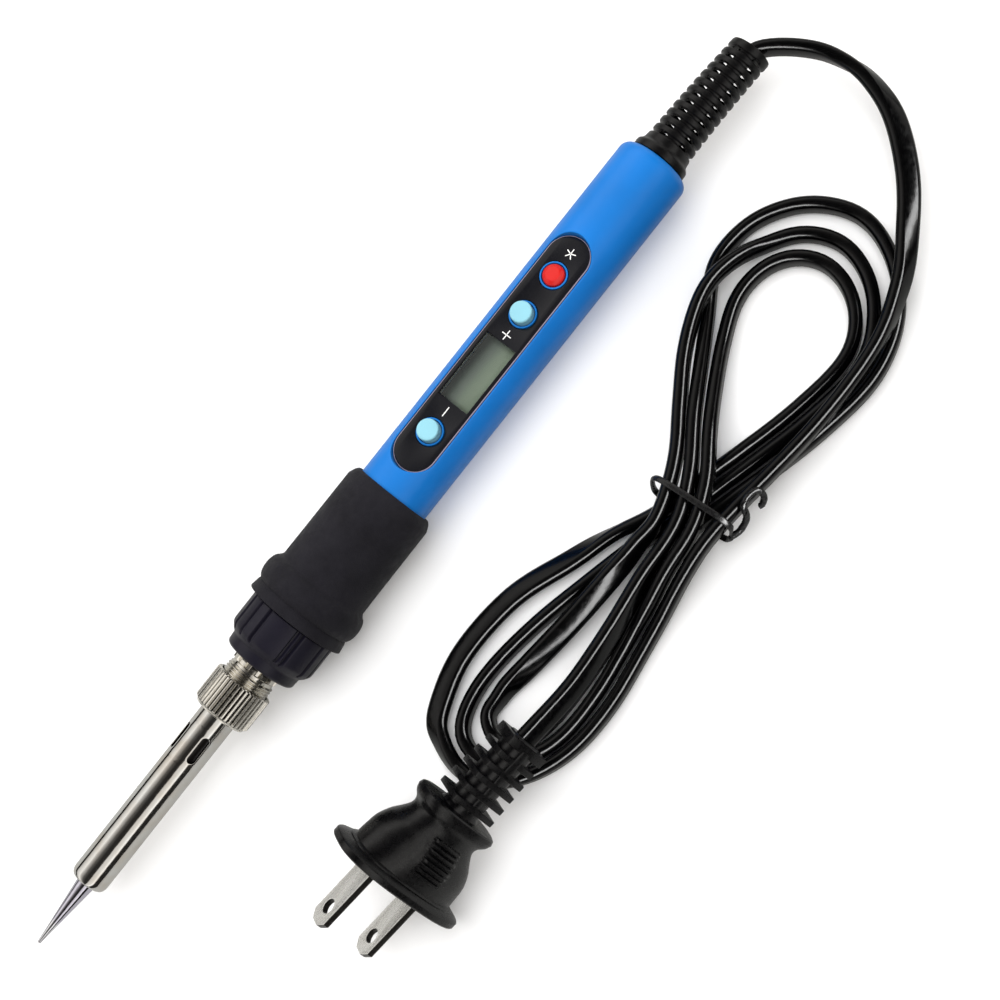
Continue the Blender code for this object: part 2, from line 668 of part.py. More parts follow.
def last_turns():
    """The inner turn of the bottom lobe, which comes from the left and turns its broad face
    up, the outer turn of the top lobe, and the run down the middle to the plug."""
    path = [(-52.0, 47.6, 9.0, 25), (-42.0, 47.0, 7.2, 60), (-30.0, 45.7, 4.6, 70)]
    path += [(-19.0, 44.2, LOW, 60), (-9.5, 43.4, LOW, 20)]
    elbow = [(-3.4, 45.0), (-1.6, 49.2), (-5.0, 53.3), (-12.0, 55.2), (-22.0, 55.3), (-36.0, 54.2)]
    path += [(x, y, LOW, 0) for x, y in elbow]
    path.append((-50.0, 53.0, LOW + 0.3, 0))
    path += list(reversed(waist(54.8, LOW, LOW_SLOPE)))
    right = [(-80.0, 58.6, LOW + 0.4, 0), (-95.0, 62.1, LOW, 0)]
    left = [(-118.0, 21.2, LOW, 0), (-109.5, 21.4, LOW, 0), (-101.0, 26.6, LOW + 0.4, 0)]
    left += [(-90.5, 33.6, 6.6, 0), (-80.0, 40.4, 9.1, 0)]
    path += upper_loop(2, right, left)
    path += waist(49.1, HIGH, 0.46)
    return path + [(-48.0, 52.7, 9.2, 10), (-34.0, 54.8, 9.4, 30), (-20.0, 56.4, 12.0, 43)]


def cord_waypoints():
    """The cord as (x, y, z, roll) points: three nested turns of each lobe, which cross in two
    layers at the waist. Roll 0 stands the flat cord on its edge."""
    return lead_in() + waist(58.9, HIGH, -0.06) + outer_turns() + last_turns()


def smooth_path(points, spacing):
    """A centripetal Catmull-Rom curve through the points, cut into steps of about spacing."""
    ends = [2 * points[0] - points[1]] + points + [2 * points[-1] - points[-2]]
    fine = []
    for a, b, c, d in zip(ends, ends[1:], ends[2:], ends[3:]):
        knots = [0.0]
        for p, q in ((a, b), (b, c), (c, d)):
            knots.append(knots[-1] + max((q - p).length, 1e-6) ** 0.5)
        for i in range(24):
            t = knots[1] + (knots[2] - knots[1]) * i / 24
            fine.append(catmull_rom(t, knots, (a, b, c, d)))
    fine.append(points[-1])
    return even_steps(fine, spacing)


def between(t, low, high, a, b):
    share = (t - low) / (high - low)
    return a * (1 - share) + b * share


def catmull_rom(t, knots, points):
    """Three rounds of blending between neighbours, over one, two and one spans of knots."""
    legs = [between(t, *knots[i : i + 2], *points[i : i + 2]) for i in range(3)]
    arcs = [between(t, knots[i], knots[i + 2], *legs[i : i + 2]) for i in range(2)]
    return between(t, knots[1], knots[2], *arcs)


def even_steps(fine, spacing):
    """Every point of a fine path that lies at least spacing past the one before it, with
    closer points where the path turns."""
    kept = [fine[0]]
    travelled, turned_by = 0.0, 0.0
    for before, here, after in zip(fine, fine[1:], fine[2:]):
        travelled += (here - before).length
        turned_by += (here - before).xyz.angle((after - here).xyz, 0.0)
        if travelled >= spacing or turned_by > math.radians(24):
            kept.append(here)
            travelled, turned_by = 0.0, 0.0
    kept.append(fine[-1])
    return kept


def make_cord(plug):
    """The flat two-core flex from the clamp in the handle to the inside of the plug."""
    section = bpy.data.curves.new("cord_section", "CURVE")
    section.dimensions = "2D"
    outline = section.splines.new("POLY")
    outline.points.add(7)
    outline.use_cyclic_u = True
    for i, point in enumerate(outline.points):
        side = 1 if i < 4 else -1
        angle = math.radians(180 * (i % 4) / 3 + (0 if side > 0 else 180))
        x, y = -CORE_R * math.cos(angle), CORE_R * math.sin(angle) + side * CORE_SHIFT
        point.co = (x * MM, y * MM, 0, 1)
    guide = as_cutter(add("cord_section", section, None))
    waypoints = [Vector(p) for p in cord_waypoints()]
    for depth in (RELIEF_END - 4, RELIEF_END + 3, -26.0, -13.0):
        inside = plug.matrix_world @ Vector((depth * MM, 0, 0))
        waypoints.append(Vector((*(inside / MM), 90 + PLUG_ROLL)))
    curve = bpy.data.curves.new("cord", "CURVE")
    curve.dimensions = "3D"
    curve.twist_mode = "Z_UP"
    curve.bevel_mode = "OBJECT"
    curve.bevel_object = guide
    curve.use_fill_caps = True
    path = smooth_path(waypoints, 7.0)
    spline = curve.splines.new("POLY")
    spline.points.add(len(path) - 1)
    spline.use_smooth = True
    for point, at in zip(spline.points, path):
        point.co = (*(at.xyz * MM), 1)
        point.tilt = math.radians(at.w)
    add("cord", curve, "pvc_black")


def make_cord_anchor():
    """A nylon clamp on the cord inside the handle, and the two cores that reach the board."""
    clamp = box("cord_clamp", (3.2, 6.4, 9.2), "part_black", None, (-110.5, 0, AXIS_Z), 0.8)
    bore = box("clamp_bore", (6, 3.8, 5.9), None, None, (-110.5, 0, AXIS_Z))
    cut(clamp, [bore])
    for name, side, colour in (("live_core", 1, "wire_brown"), ("neutral_core", -1, "wire_blue")):
        z = AXIS_Z + side * CORE_SHIFT
        points = [(-105.6, 0, z), (-103.0, 0.6 * side, z), (-100.4, 2.2 * side, AXIS_Z - 0.6)]
        points.append((-98.4, 2.6 * side, AXIS_Z - 0.7))
        wire(name, points, 0.85, colour)


def make_twist_tie():
    """A coated wire round the waist of the hank, its two ends twisted into a tail that curls
    over the nearest strand."""
    centre = Vector((WAIST_X, 51.6, 6.9))
    half_y, half_z, offset = 10.1, 6.35, 1.1
    loop = []
    turns = 22
    for i in range(turns + 1):
        angle = math.radians(16 + 308 * i / turns)
        y = half_y * math.copysign(abs(math.cos(angle)) ** 0.5, math.cos(angle))
        z = half_z * math.copysign(abs(math.sin(angle)) ** 0.5, math.sin(angle))
        loop.append(tuple(centre + Vector((-0.07 * y + offset * (1 - z / half_z), y, z))))
    tail = [(-64.9, 61.2, 6.4), (-66.7, 62.2, 7.2), (-68.6, 62.4, 8.5), (-70.2, 62.2, 10.9)]
    tail += [(-71.2, 60.8, 13.0), (-73.4, 60.3, 13.1), (-75.6, 61.0, 12.7), (-75.3, 62.7, 10.9)]
    tail += [(-73.7, 62.9, 9.2)]
    first, second = [], []
    for i, place in enumerate(tail):
        angle = math.radians(80 * i)
        swing = Vector((0.2, math.cos(angle), math.sin(angle))) * 0.6
        first.append(tuple(Vector(place) + swing))
        second.append(tuple(Vector(place) - swing))
    first.reverse()
    wire("twist_tie", first + loop + second, 0.5, "pvc_black")


# ---------------------------------------------------------------- plug
def oval(half_y, half_z, power, count=28):
    """Points of a superellipse, counter-clockwise."""
    points = []
    for i in range(count):
        angle = 2 * math.pi * i / count
        y, z = math.cos(angle), math.sin(angle)
        y = half_y * math.copysign(abs(y) ** (2 / power), y)
        z = half_z * math.copysign(abs(z) ** (2 / power), z)
        points.append((y, z))
    return points


def loft(name, stations, material, parent):
    """A closed solid through superellipse sections (x, half_y, half_z, power)."""
    shape = bmesh.new()
    rings = []
    for x, half_y, half_z, power in stations:
        ring = [shape.verts.new(Vector((x, y, z)) * MM) for y, z in oval(half_y, half_z, power)]
        rings.append(ring)
    for low, high in zip(rings, rings[1:]):
        for i in range(len(low)):
            j = (i + 1) % len(low)
            shape.faces.new((low[i], low[j], high[j], high[i]))
    shape.faces.new(rings[0])
    shape.faces.new(rings[-1])
    bmesh.ops.recalc_face_normals(shape, faces=shape.faces)
    mesh = bpy.data.meshes.new(name)
    shape.to_mesh(mesh)
    shape.free()
    return add(name, mesh, material, parent)


def make_plug(plug):
    """The moulded two-blade plug: flange, finger-shaped body, shoulder and ribbed relief."""
    half_y, half_z = FLANGE_HALF
    stations = [
        (0.0, half_y - 0.4, half_z - 0.4, 2.6),
        (-0.4, half_y, half_z, 2.6),
        (-2.0, half_y, half_z, 2.6),
        (-4.6, 12.8, 7.7, 2.4),
        (-8.0, 12.5, 8.0, 2.3),
        (-11.2, 10.8, 7.2, 2.3),
        (-14.0, 8.7, 6.1, 2.3),
        (-16.0, 8.5, 5.9, 2.5),
        (-17.8, 9.8, 6.4, 3.0),
        (-19.4, 9.6, 6.2, 3.0),
        (-20.0, 4.6, 4.0, 2.6),
        (RELIEF_END, 4.0, 3.5, 2.6),
    ]
    body = loft("plug_body", stations, "pvc_black", plug)
    ribs = []
    for rib in range(6):
        width = 11.6 - 0.3 * rib
        at = (-22.0 - 3.1 * rib, 0, 0)
        ribs.append(box("relief_rib", (1.4, width, 8.2 - 0.2 * rib), None, plug, at))
    cut(body, ribs, "UNION")
    channels = [cord_channel(plug)]
    for side in (-1, 1):
        at = (-5.0, side * BLADE_SPACING / 2, 0)
        slot = (13.0, BLADE[1] + 2 * GAP, BLADE[2] + 2 * GAP)
        channels.append(box("blade_slot", slot, None, plug, at))
    cut(body, channels)


def cord_channel(plug):
    """The hole that the cord is moulded into, along the relief."""
    channel = plate("cord_channel", stadium(5.9, 3.8, 6), 32, None, plug, (-28.0, 0, 0))
    channel.rotation_euler = (math.pi / 2, 0, math.pi / 2)
    return channel


def make_blades(plug):
    """Two flat blades with a hole near the end, pressed 9.5 mm into the plug."""
    length, thickness, width = BLADE
    buried = 9.5
    for name, side in (("blade_left", -1), ("blade_right", 1)):
        at = ((length - buried) / 2, side * BLADE_SPACING / 2, 0)
        blade = box(name, (length + buried, thickness, width), "nickel", plug, at)
        corners = []
        for up in (-1, 1):
            corner = box("blade_corner", (3, 4, 3), None, plug)
            corner.rotation_euler = (0, math.radians(45), 0)
            corner.location = Vector((length + 0.7, at[1], up * (width / 2 + 0.7))) * MM
            corners.append(corner)
        hole = cylinder("blade_hole", 1.6, 6, None, plug, (length - 4.2, at[1], 0), 16)
        hole.rotation_euler = (math.pi / 2, 0, 0)
        cut_with_all(blade, corners + [hole])


def shade():
    for obj in PARTS.objects:
        if obj.type == "MESH":
            smooth(obj)


clear_scene()
PARTS = new_collection("soldering_iron")
CUTTERS = new_collection("cutters")
IRON_AXIS = empty("iron_axis", (0, 0, AXIS_Z), (0, 90, 0))
PANEL = empty("panel_frame", (0, 0, AXIS_Z))
PLUG = empty("plug_frame", PLUG_AT, (PLUG_ROLL, 0, PLUG_YAW))
bpy.context.view_layer.update()

make_tip(IRON_AXIS)
make_barrel(IRON_AXIS)
make_nut(IRON_AXIS)
make_threaded_insert(IRON_AXIS)
make_nose_piece(IRON_AXIS)
make_heater(IRON_AXIS)
make_grip(IRON_AXIS)
make_shell(IRON_AXIS, PANEL)
make_panel(PANEL)
make_board(PANEL)
make_buttons(PANEL)
make_boot(IRON_AXIS)
make_cord(PLUG)
make_cord_anchor()
make_twist_tie()
make_plug(PLUG)
make_blades(PLUG)
shade()
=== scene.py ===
"""The looks of an adjustable soldering iron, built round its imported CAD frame.

Points are written in millimetres in the row frame and turned into metres by MM. Angles round
the iron run from straight up towards +Y, in degrees.
"""

import json
import math

import bmesh
import bpy
from mathutils import Matrix, Vector


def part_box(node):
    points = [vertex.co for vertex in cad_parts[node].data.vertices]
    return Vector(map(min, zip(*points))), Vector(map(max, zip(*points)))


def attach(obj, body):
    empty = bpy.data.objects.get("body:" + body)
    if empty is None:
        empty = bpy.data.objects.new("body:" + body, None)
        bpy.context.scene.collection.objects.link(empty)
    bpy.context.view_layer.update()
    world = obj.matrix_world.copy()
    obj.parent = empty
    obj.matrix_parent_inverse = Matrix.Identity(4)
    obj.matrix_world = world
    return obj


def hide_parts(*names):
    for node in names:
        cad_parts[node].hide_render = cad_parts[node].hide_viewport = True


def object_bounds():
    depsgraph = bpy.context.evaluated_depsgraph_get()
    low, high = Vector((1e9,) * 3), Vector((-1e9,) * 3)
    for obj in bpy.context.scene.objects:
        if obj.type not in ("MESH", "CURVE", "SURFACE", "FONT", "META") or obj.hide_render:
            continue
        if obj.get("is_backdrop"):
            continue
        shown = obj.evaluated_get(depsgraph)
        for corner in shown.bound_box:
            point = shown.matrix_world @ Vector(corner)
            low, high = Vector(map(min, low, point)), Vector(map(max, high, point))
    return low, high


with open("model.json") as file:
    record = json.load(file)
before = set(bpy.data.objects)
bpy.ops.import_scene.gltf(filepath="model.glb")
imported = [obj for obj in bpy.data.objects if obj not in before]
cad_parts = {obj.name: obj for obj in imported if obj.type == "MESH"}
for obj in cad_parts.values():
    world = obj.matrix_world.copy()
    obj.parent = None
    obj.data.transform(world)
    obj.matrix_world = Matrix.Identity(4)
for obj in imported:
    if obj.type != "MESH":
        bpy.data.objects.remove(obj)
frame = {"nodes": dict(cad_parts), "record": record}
CAD_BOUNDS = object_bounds()

MM = 0.001


def low(node, axis):
    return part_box(node)[0]["XYZ".index(axis)] / MM


def high(node, axis):
    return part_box(node)[1]["XYZ".index(axis)] / MM


def middle(node, axis):
    return (low(node, axis) + high(node, axis)) / 2


def size_of(node, axis):
    return high(node, axis) - low(node, axis)


def ends(node):
    return low(node, "X"), high(node, "X")


# Stations and sizes of the iron, read from the frame
AXIS_Z = middle("knurled_nut", "Z")
TIP_REAR, TIP_END = ends("tip")
BARREL_REAR, BARREL_FRONT = ends("barrel")
NUT_REAR, NUT_FRONT = ends("knurled_nut")
NUT_R = size_of("knurled_nut", "Z") / 2
INSERT_REAR, INSERT_FRONT = ends("threaded_insert")
NOSE_REAR, NOSE_FRONT = ends("nose_piece")
NOSE_R = size_of("nose_piece", "Z") / 2
GRIP_REAR, GRIP_FRONT = ends("grip_sleeve")
GRIP_R = high("grip_sleeve", "Z") - AXIS_Z
HANDLE_REAR, HANDLE_FRONT = ends("handle_shell")
HANDLE_R = AXIS_Z - low("handle_shell", "Z")
PANEL_REAR, PANEL_FRONT = ends("panel_overlay")
PANEL_TOP = high("panel_overlay", "Z")
PANEL_HALF = size_of("panel_overlay", "Y") / 2
PANEL_MIDDLE = middle("panel_overlay", "X")
BOOT_REAR, BOOT_FRONT = ends("cord_boot")
BUTTONS = ("minus", "plus", "set")

# Sizes that the frame's boxes don't give
GAP = 0.3  # between neighbouring pieces
BARREL_R, BARREL_BORE = 4.2, 3.7
TIP_SLEEVE_R, TIP_CONE_R, TIP_BORE = 3.2, 2.1, 2.15
THREAD_R, THREAD_PITCH = 5.6, 0.75
NUT_BORE = 5.9
HANDLE_BORE, HANDLE_WALL = 7.0, 2.0
DECK_TOP, DECK_THICK = AXIS_Z + 5.0, 0.8
POCKET_GAP = 0.2
BUTTON_R, BOSS_R, BOSS_BORE = 2.45, 3.05, 2.7
CORE_R, CORE_SHIFT = 1.5, 1.05
LOW, HIGH = 2.75, 8.3  # heights of the cord's strands in the hank's two layers
WAIST_X, WAIST_LIFT, LOW_SLOPE = -66.0, 1.0, -0.27
PLUG_ROLL = -47.0
RELIEF_END = -39.2
BLADE_LENGTH, BLADE_THICK, BLADE_WIDTH, BLADE_SPACING = 16.0, 1.5, 6.35, 12.7
VIEW_TILT = 18.0  # how far the camera leans from straight above towards +Y
# Near-black painted shade for hidden surfaces: knurl grooves, the barrel's bore, the bit and the heater
# rod inside it
PAINTED_SHADE = (0.012, 0.010, 0.009, 1)
# Painted shade for the side faces of a stamped sheet
SIDE_SHADE = (0.03, 0.028, 0.025, 1)


# Shapes
class Shape:
    """The points and faces of one piece, in millimetres in the row frame."""

    def __init__(self):
        self.points = []
        self.faces = []

    def rings(self, rings, closed=False):
        """Joins rings of points in order. A ring of one point is a pole, and closed joins the
        last ring to the first."""
        starts = []
        for ring in rings:
            starts.append(len(self.points))
            self.points += ring
        pairs = list(zip(range(len(rings)), range(1, len(rings))))
        if closed:
            pairs.append((len(rings) - 1, 0))
        for a, b in pairs:
            self.join(starts[a], len(rings[a]), starts[b], len(rings[b]))

    def join(self, a, count_a, b, count_b):
        count = max(count_a, count_b)
        for i in range(count):
            j = (i + 1) % count
            if count_a == 1:
                self.faces.append((a, b + i, b + j))
            elif count_b == 1:
                self.faces.append((a + i, a + j, b))
            else:
                self.faces.append((a + i, a + j, b + j, b + i))

    def bar(self, rings):
        """Joins rings and closes both ends."""
        self.rings(rings)
        for ring in (rings[0], rings[-1]):
            start = len(self.points)
            self.points += ring
            self.faces.append(tuple(range(start, start + len(ring))))


def mesh_from(shape):
    mesh = bpy.data.meshes.new("shape")
    mesh.from_pydata([Vector(p) * MM for p in shape.points], [], shape.faces)
    tidy(mesh)
    return mesh


def tidy(mesh, weld=0.002):
    """Welds points nearer than weld millimetres and turns every face outwards."""
    work = bmesh.new()
    work.from_mesh(mesh)
    bmesh.ops.remove_doubles(work, verts=work.verts, dist=weld * MM)
    bmesh.ops.dissolve_degenerate(work, edges=work.edges, dist=1e-8)
    bmesh.ops.recalc_face_normals(work, faces=work.faces)
    work.to_mesh(mesh)
    work.free()


def show(obj):
    bpy.context.scene.collection.objects.link(obj)
    return obj


def piece(name, mesh, material, slot, body, nodes=(), sharp=32):
    """A finished piece that rides on a body and stands for some CAD nodes."""
    obj = show(bpy.data.objects.new(name, mesh))
    mesh.name = name
    mesh.materials.clear()
    mesh.materials.append(material)
    mesh.shade_smooth()
    mesh.set_sharp_from_angle(angle=math.radians(sharp))
    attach(obj, body)
    if nodes:
        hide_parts(*nodes)


def polar(radius, degrees):
    angle = math.radians(degrees)
    return radius * math.cos(angle), radius * math.sin(angle)


def iron(x, radius, degrees):
    """A point round the iron's axis."""
    up, side = polar(radius, degrees)
    return (x, side, AXIS_Z + up)


def upright(x, y):
    """Places heights and radii round a vertical axis at x, y."""

    def place(height, radius, degrees):
        along, side = polar(radius, degrees)
        return (x + side, y + along, height)

    return place


def filleted(corners, steps=3):
    """Profile points from corners (height, radius, fillet); a corner with a fillet is rounded."""
    points = []
    for i, corner in enumerate(corners):
        here = Vector(corner[:2])
        fillet = corner[2] if len(corner) > 2 else 0.0
        if not fillet:
            points.append(tuple(here))
            continue
        before = Vector(corners[i - 1][:2]) - here
        after = Vector(corners[(i + 1) % len(corners)][:2]) - here
        start = here + before.normalized() * min(fillet, before.length / 2)
        end = here + after.normalized() * min(fillet, after.length / 2)
        for k in range(steps + 1):
            t = k / steps
            points.append(tuple(start * (1 - t) ** 2 + here * 2 * t * (1 - t) + end * t * t))
    return points


def turned(profile, steps, place=iron, radius=None, bored=False):
    """A profile of (height, radius) turned round an axis. radius(height, radius, degrees) may
    change a point's radius, and a bored profile is joined end to start."""
    rings = []
    for height, size in profile:
        if size < 1e-6:
            rings.append([place(height, 0.0, 0.0)])
            continue
        ring = []
        for i in range(steps):
            degrees = 360.0 * i / steps
            reach = radius(height, size, degrees) if radius else size
            ring.append(place(height, reach, degrees))
        rings.append(ring)
    shape = Shape()
    shape.rings(rings, closed=bored)
    return shape


def lathe(corners, steps, fillet_steps=3, **rules):
    """The mesh of a turned shape with rounded corners. The rules are those of turned()."""
    return mesh_from(turned(filleted(corners, fillet_steps), steps, **rules))


def spread(start, end, count):
    """count + 1 values from start to end."""
    return [start + (end - start) * i / count for i in range(count + 1)]


def stadium(half_length, radius, straight, arc):
    """Points round a stadium centred on the origin, from the +X end of its +Y side."""
    ring = []
    for side in (1, -1):
        far = -side * half_length
        ring += [(x, side * radius) for x in spread(-far, far, straight)[:-1]]
        for degrees in spread(180 - 90 * side, 360 - 90 * side, arc)[:-1]:
            x, y = polar(radius, degrees)
            ring.append((far + x, y))
    return ring


def rectangle(half_length, half_width, straight, across):
    """Points round a rectangle in the order of stadium(), with across giving the Y values."""
    ring = []
    for side in (1, -1):
        far = -side * half_length
        ring += [(x, side * half_width) for x in spread(-far, far, straight)[:-1]]
        ring += [(far, side * half_width * y) for y in across[:-1]]
    return ring


def on_tube(radius, ring, sink=0.0):
    """A flat ring laid on a tube that runs along X: heights above its axis, less sink."""
    return [(x, y, math.sqrt(max(radius * radius - y * y, 0.0)) - sink) for x, y in ring]


def tube_rim(radius, reach, half_angle, straight, arc):
    """The flat outline of a patch on a tube, in even steps of angle over its top."""
    whole = math.sin(math.radians(half_angle))
    across = [math.sin(math.radians(a)) / whole for a in spread(half_angle, -half_angle, arc)]
    return rectangle(reach, radius * whole, straight, across)


def to_mouth(radius, rim, mouth, shares):
    """Rings on a tube from a patch's rim towards the mouth of its opening."""
    rings = []
    for share in shares:
        flat = [tuple(Vector(a).lerp(Vector(b), share)) for a, b in zip(rim, mouth)]
        rings.append(on_tube(radius, flat))
    return rings


def rounded_mouth(radius, mouth, edge, steps):
    """Rings that turn a tube's surface down into an opening. mouth(offset) is its outline."""
    rings = []
    for degrees in spread(0, 90, steps):
        cosine, sine = polar(1.0, degrees)
        rings.append(on_tube(radius, mouth(edge * (1 - sine)), edge * (1 - cosine)))
    return rings


def turn_patch(rings, centre_x, degrees):
    """Moves rings of (x, y, height) from over the iron's top line to an angle round its axis."""
    c, s = polar(1.0, degrees)
    placed = []
    for ring in rings:
        placed.append([(centre_x + x, y * c + z * s, AXIS_Z + z * c - y * s) for x, y, z in ring])
    return placed


def drop_faces(mesh, inside):
    """Removes the faces whose centre, in millimetres, is inside."""
    work = bmesh.new()
    work.from_mesh(mesh)
    gone = [f for f in work.faces if inside(f.calc_center_median() / MM)]
    bmesh.ops.delete(work, geom=gone, context="FACES")
    work.to_mesh(mesh)
    work.free()


def joined(meshes, weld):
    """One mesh of several, welded where they meet."""
    work = bmesh.new()
    for mesh in meshes:
        work.from_mesh(mesh)
        bpy.data.meshes.remove(mesh)
    result = bpy.data.meshes.new("joined")
    work.to_mesh(result)
    work.free()
    tidy(result, weld)
    return result


def taken_mesh(*objects):
    """The mesh of the first of some temporary objects, with its modifiers or its bevel applied."""
    for obj in objects:
        show(obj)
    bpy.context.view_layer.update()
    graph = bpy.context.evaluated_depsgraph_get()
    mesh = bpy.data.meshes.new_from_object(objects[0].evaluated_get(graph))
    for obj in objects:
        bpy.data.objects.remove(obj, do_unlink=True)
    return mesh


def curve_mesh(curve, *guides):
    mesh = taken_mesh(bpy.data.objects.new(curve.name, curve), *guides)
    tidy(mesh, 0.0005)
    return mesh


def add_loop(curve, outline):
    spline = curve.splines.new("POLY")
    spline.points.add(len(outline) - 1)
    spline.use_cyclic_u = True
    for point, (x, y) in zip(spline.points, outline):
        point.co = (x * MM, y * MM, 0, 1)


def plate_mesh(outlines, thickness, edge, matrix):
    """A flat plate from an outline and its holes, with rounded edges, centred on matrix's XY."""
    curve = bpy.data.curves.new("plate", "CURVE")
    curve.dimensions = "2D"
    curve.fill_mode = "BOTH"
    curve.extrude = (thickness / 2 - edge) * MM
    curve.bevel_depth = edge * MM
    curve.bevel_resolution = 2
    curve.offset = -edge * MM
    for outline in outlines:
        add_loop(curve, outline)
    mesh = curve_mesh(curve)
    mesh.transform(matrix)
    return mesh


def circle(x, radius, count=48):
    points = [polar(radius, 360 * i / count) for i in range(count)]
    return [(x + along, across) for along, across in points]


def at(x, y, z):
    return Matrix.Translation(Vector((x, y, z)) * MM)


def cut(mesh, cutter, operation="DIFFERENCE"):
    """The mesh with a cutter's mesh taken away, or joined to it."""
    target = bpy.data.objects.new("boolean_target", mesh)
    tool = bpy.data.objects.new("boolean_tool", cutter)
    boolean = target.modifiers.new("Cut", "BOOLEAN")
    boolean.operation = operation
    boolean.object = tool
    boolean.solver = "EXACT"
    result = taken_mesh(target, tool)
    bpy.data.meshes.remove(mesh)
    bpy.data.meshes.remove(cutter)
    return result


def block(size, matrix, edge=0.0):
    """A mesh of a box with rounded edges."""
    mesh = bpy.data.meshes.new("block")
    work = bmesh.new()
    bmesh.ops.create_cube(work, size=1.0, matrix=Matrix.Diagonal((*[s * MM for s in size], 1.0)))
    if edge:
        bmesh.ops.bevel(work, geom=work.edges, offset=edge * MM, segments=2, profile=0.5, affect="EDGES")
    bmesh.ops.transform(work, matrix=matrix, verts=work.verts)
    work.to_mesh(mesh)
    work.free()
    return mesh


# Materials
class Nodes:
    """Builds a node tree. A node's input may be a plain value or another node's socket."""

    def __init__(self, tree):
        self.tree = tree

    def node(self, kind, inputs=None, **settings):
        made = self.tree.nodes.new("ShaderNode" + kind)
        for key, value in settings.items():
            setattr(made, key, value)
        for key, value in (inputs or {}).items():
            if isinstance(value, bpy.types.NodeSocket):
                self.tree.links.new(value, made.inputs[key])
            else:
                made.inputs[key].default_value = value
        return made

    def maths(self, operation, *values):
        return self.node("Math", dict(enumerate(values)), operation=operation).outputs[0]

    def vector(self, operation, *values):
        made = self.node("VectorMath", dict(enumerate(values)), operation=operation)
        return made.outputs["Value" if operation in ("LENGTH", "DOT_PRODUCT") else "Vector"]

    def parts(self, vector):
        return self.node("SeparateXYZ", {0: vector}).outputs

    def mix(self, factor, a, b):
        return self.node("Mix", {0: factor, 6: a, 7: b}, data_type="RGBA").outputs[2]

    def mixed_shader(self, factor, a, b, output):
        mixed = self.node("MixShader", {0: factor, 1: a.outputs[0], 2: b.outputs[0]})
        self.tree.links.new(mixed.outputs[0], self.tree.nodes[output].inputs["Surface"])


class Look(Nodes):
    """A material in the making: its shader, and the row frame's coordinates in millimetres."""

    def __init__(self, name, **values):
        self.material = bpy.data.materials.new(name)
        self.material.use_nodes = True
        super().__init__(self.material.node_tree)
        self.shader = self.tree.nodes["Principled BSDF"]
        for key, value in values.items():
            self.shader.inputs[key.replace("_", " ")].default_value = value
        self.here = self.stretched(1.0, 1.0, 1.0)

    def stretched(self, *factors):
        """The coordinates times factors, so that a texture's scale is per millimetre."""
        coordinates = self.node("TexCoord").outputs["Object"]
        return self.vector("MULTIPLY", coordinates, [f / MM for f in factors])

    def noise(self, scale, detail=2.0, roughness=0.5, where=None):
        inputs = {"Vector": where or self.here, "Scale": scale, "Detail": detail, "Roughness": roughness}
        return self.node("TexNoise", inputs).outputs[0]

    def span(self, value, start, end, source=(0.3, 0.7)):
        """value, which mostly lies in source, mapped to start..end."""
        inputs = {"Value": value, "From Min": source[0], "From Max": source[1]}
        inputs.update({"To Min": start, "To Max": end})
        return self.node("MapRange", inputs).outputs[0]

    def ramp(self, value, *stops):
        made = self.node("ValToRGB", {0: value})
        elements = made.color_ramp.elements
        while len(elements) < len(stops):
            elements.new(0.5)
        for element, (position, colour) in zip(elements, stops):
            element.position = position
            element.color = screen(colour)
        return made.outputs[0]

    def finish(self, tone, gloss=None, layers=()):
        """Plugs in the colour, the roughness, and a normal from (height socket, depth in
        millimetres) layers, one on top of the other."""
        normal = None
        for height, depth in layers:
            inputs = {"Strength": 1.0, "Distance": depth * MM, "Height": height}
            if normal is not None:
                inputs["Normal"] = normal
            normal = self.node("Bump", inputs).outputs[0]
        for key, socket in (("Base Color", tone), ("Roughness", gloss), ("Normal", normal)):
            if socket is not None:
                self.tree.links.new(socket, self.shader.inputs[key])
        return self.material


def screen(colour):
    """The linear values, with alpha, of a colour given as it is seen on a screen."""
    return (*[c / 12.92 if c <= 0.04045 else ((c + 0.055) / 1.055) ** 2.4 for c in colour], 1.0)


def shaded(colour, factor):
    return tuple(min(1.0, c * factor) for c in colour)


def moulded(name, colour, roughness, grain, depth, vary=0.06, shine=0.5):
    """Injection-moulded plastic: slight colour drift, uneven gloss and a fine texture."""
    look = Look(name, Specular_IOR_Level=shine)
    dark, pale = shaded(colour, 1 - vary), shaded(colour, 1 + vary)
    tone = look.ramp(look.noise(0.09, 3.0), (0.3, dark), (0.7, pale))
    gloss = look.span(look.noise(0.6, 4.0), roughness - 0.05, roughness + 0.07)
    fine, orange_peel = look.noise(grain), look.noise(0.8, 1.0)
    return look.finish(tone, gloss, ((orange_peel, depth * 2.0), (fine, depth)))


def rubber_material():
    """The grip's silicone rubber: matt and lightly grained, with faint paler clouds."""
    look = Look("silicone_rubber", Specular_IOR_Level=0.2, Sheen_Weight=0.02, Sheen_Roughness=0.6)
    cloud = look.noise(0.13, 4.0, 0.6)
    tone = look.ramp(cloud, (0.3, (0.075, 0.072, 0.090)), (0.75, (0.115, 0.111, 0.132)))
    gloss = look.span(look.noise(0.5, 3.0), 0.58, 0.78)
    cells = look.node("TexVoronoi", {"Vector": look.here, "Scale": 3.2}).outputs["Distance"]
    fine = look.noise(9.0)
    return look.finish(tone, gloss, ((look.noise(0.25), 0.12), (cells, 0.025), (fine, 0.012)))


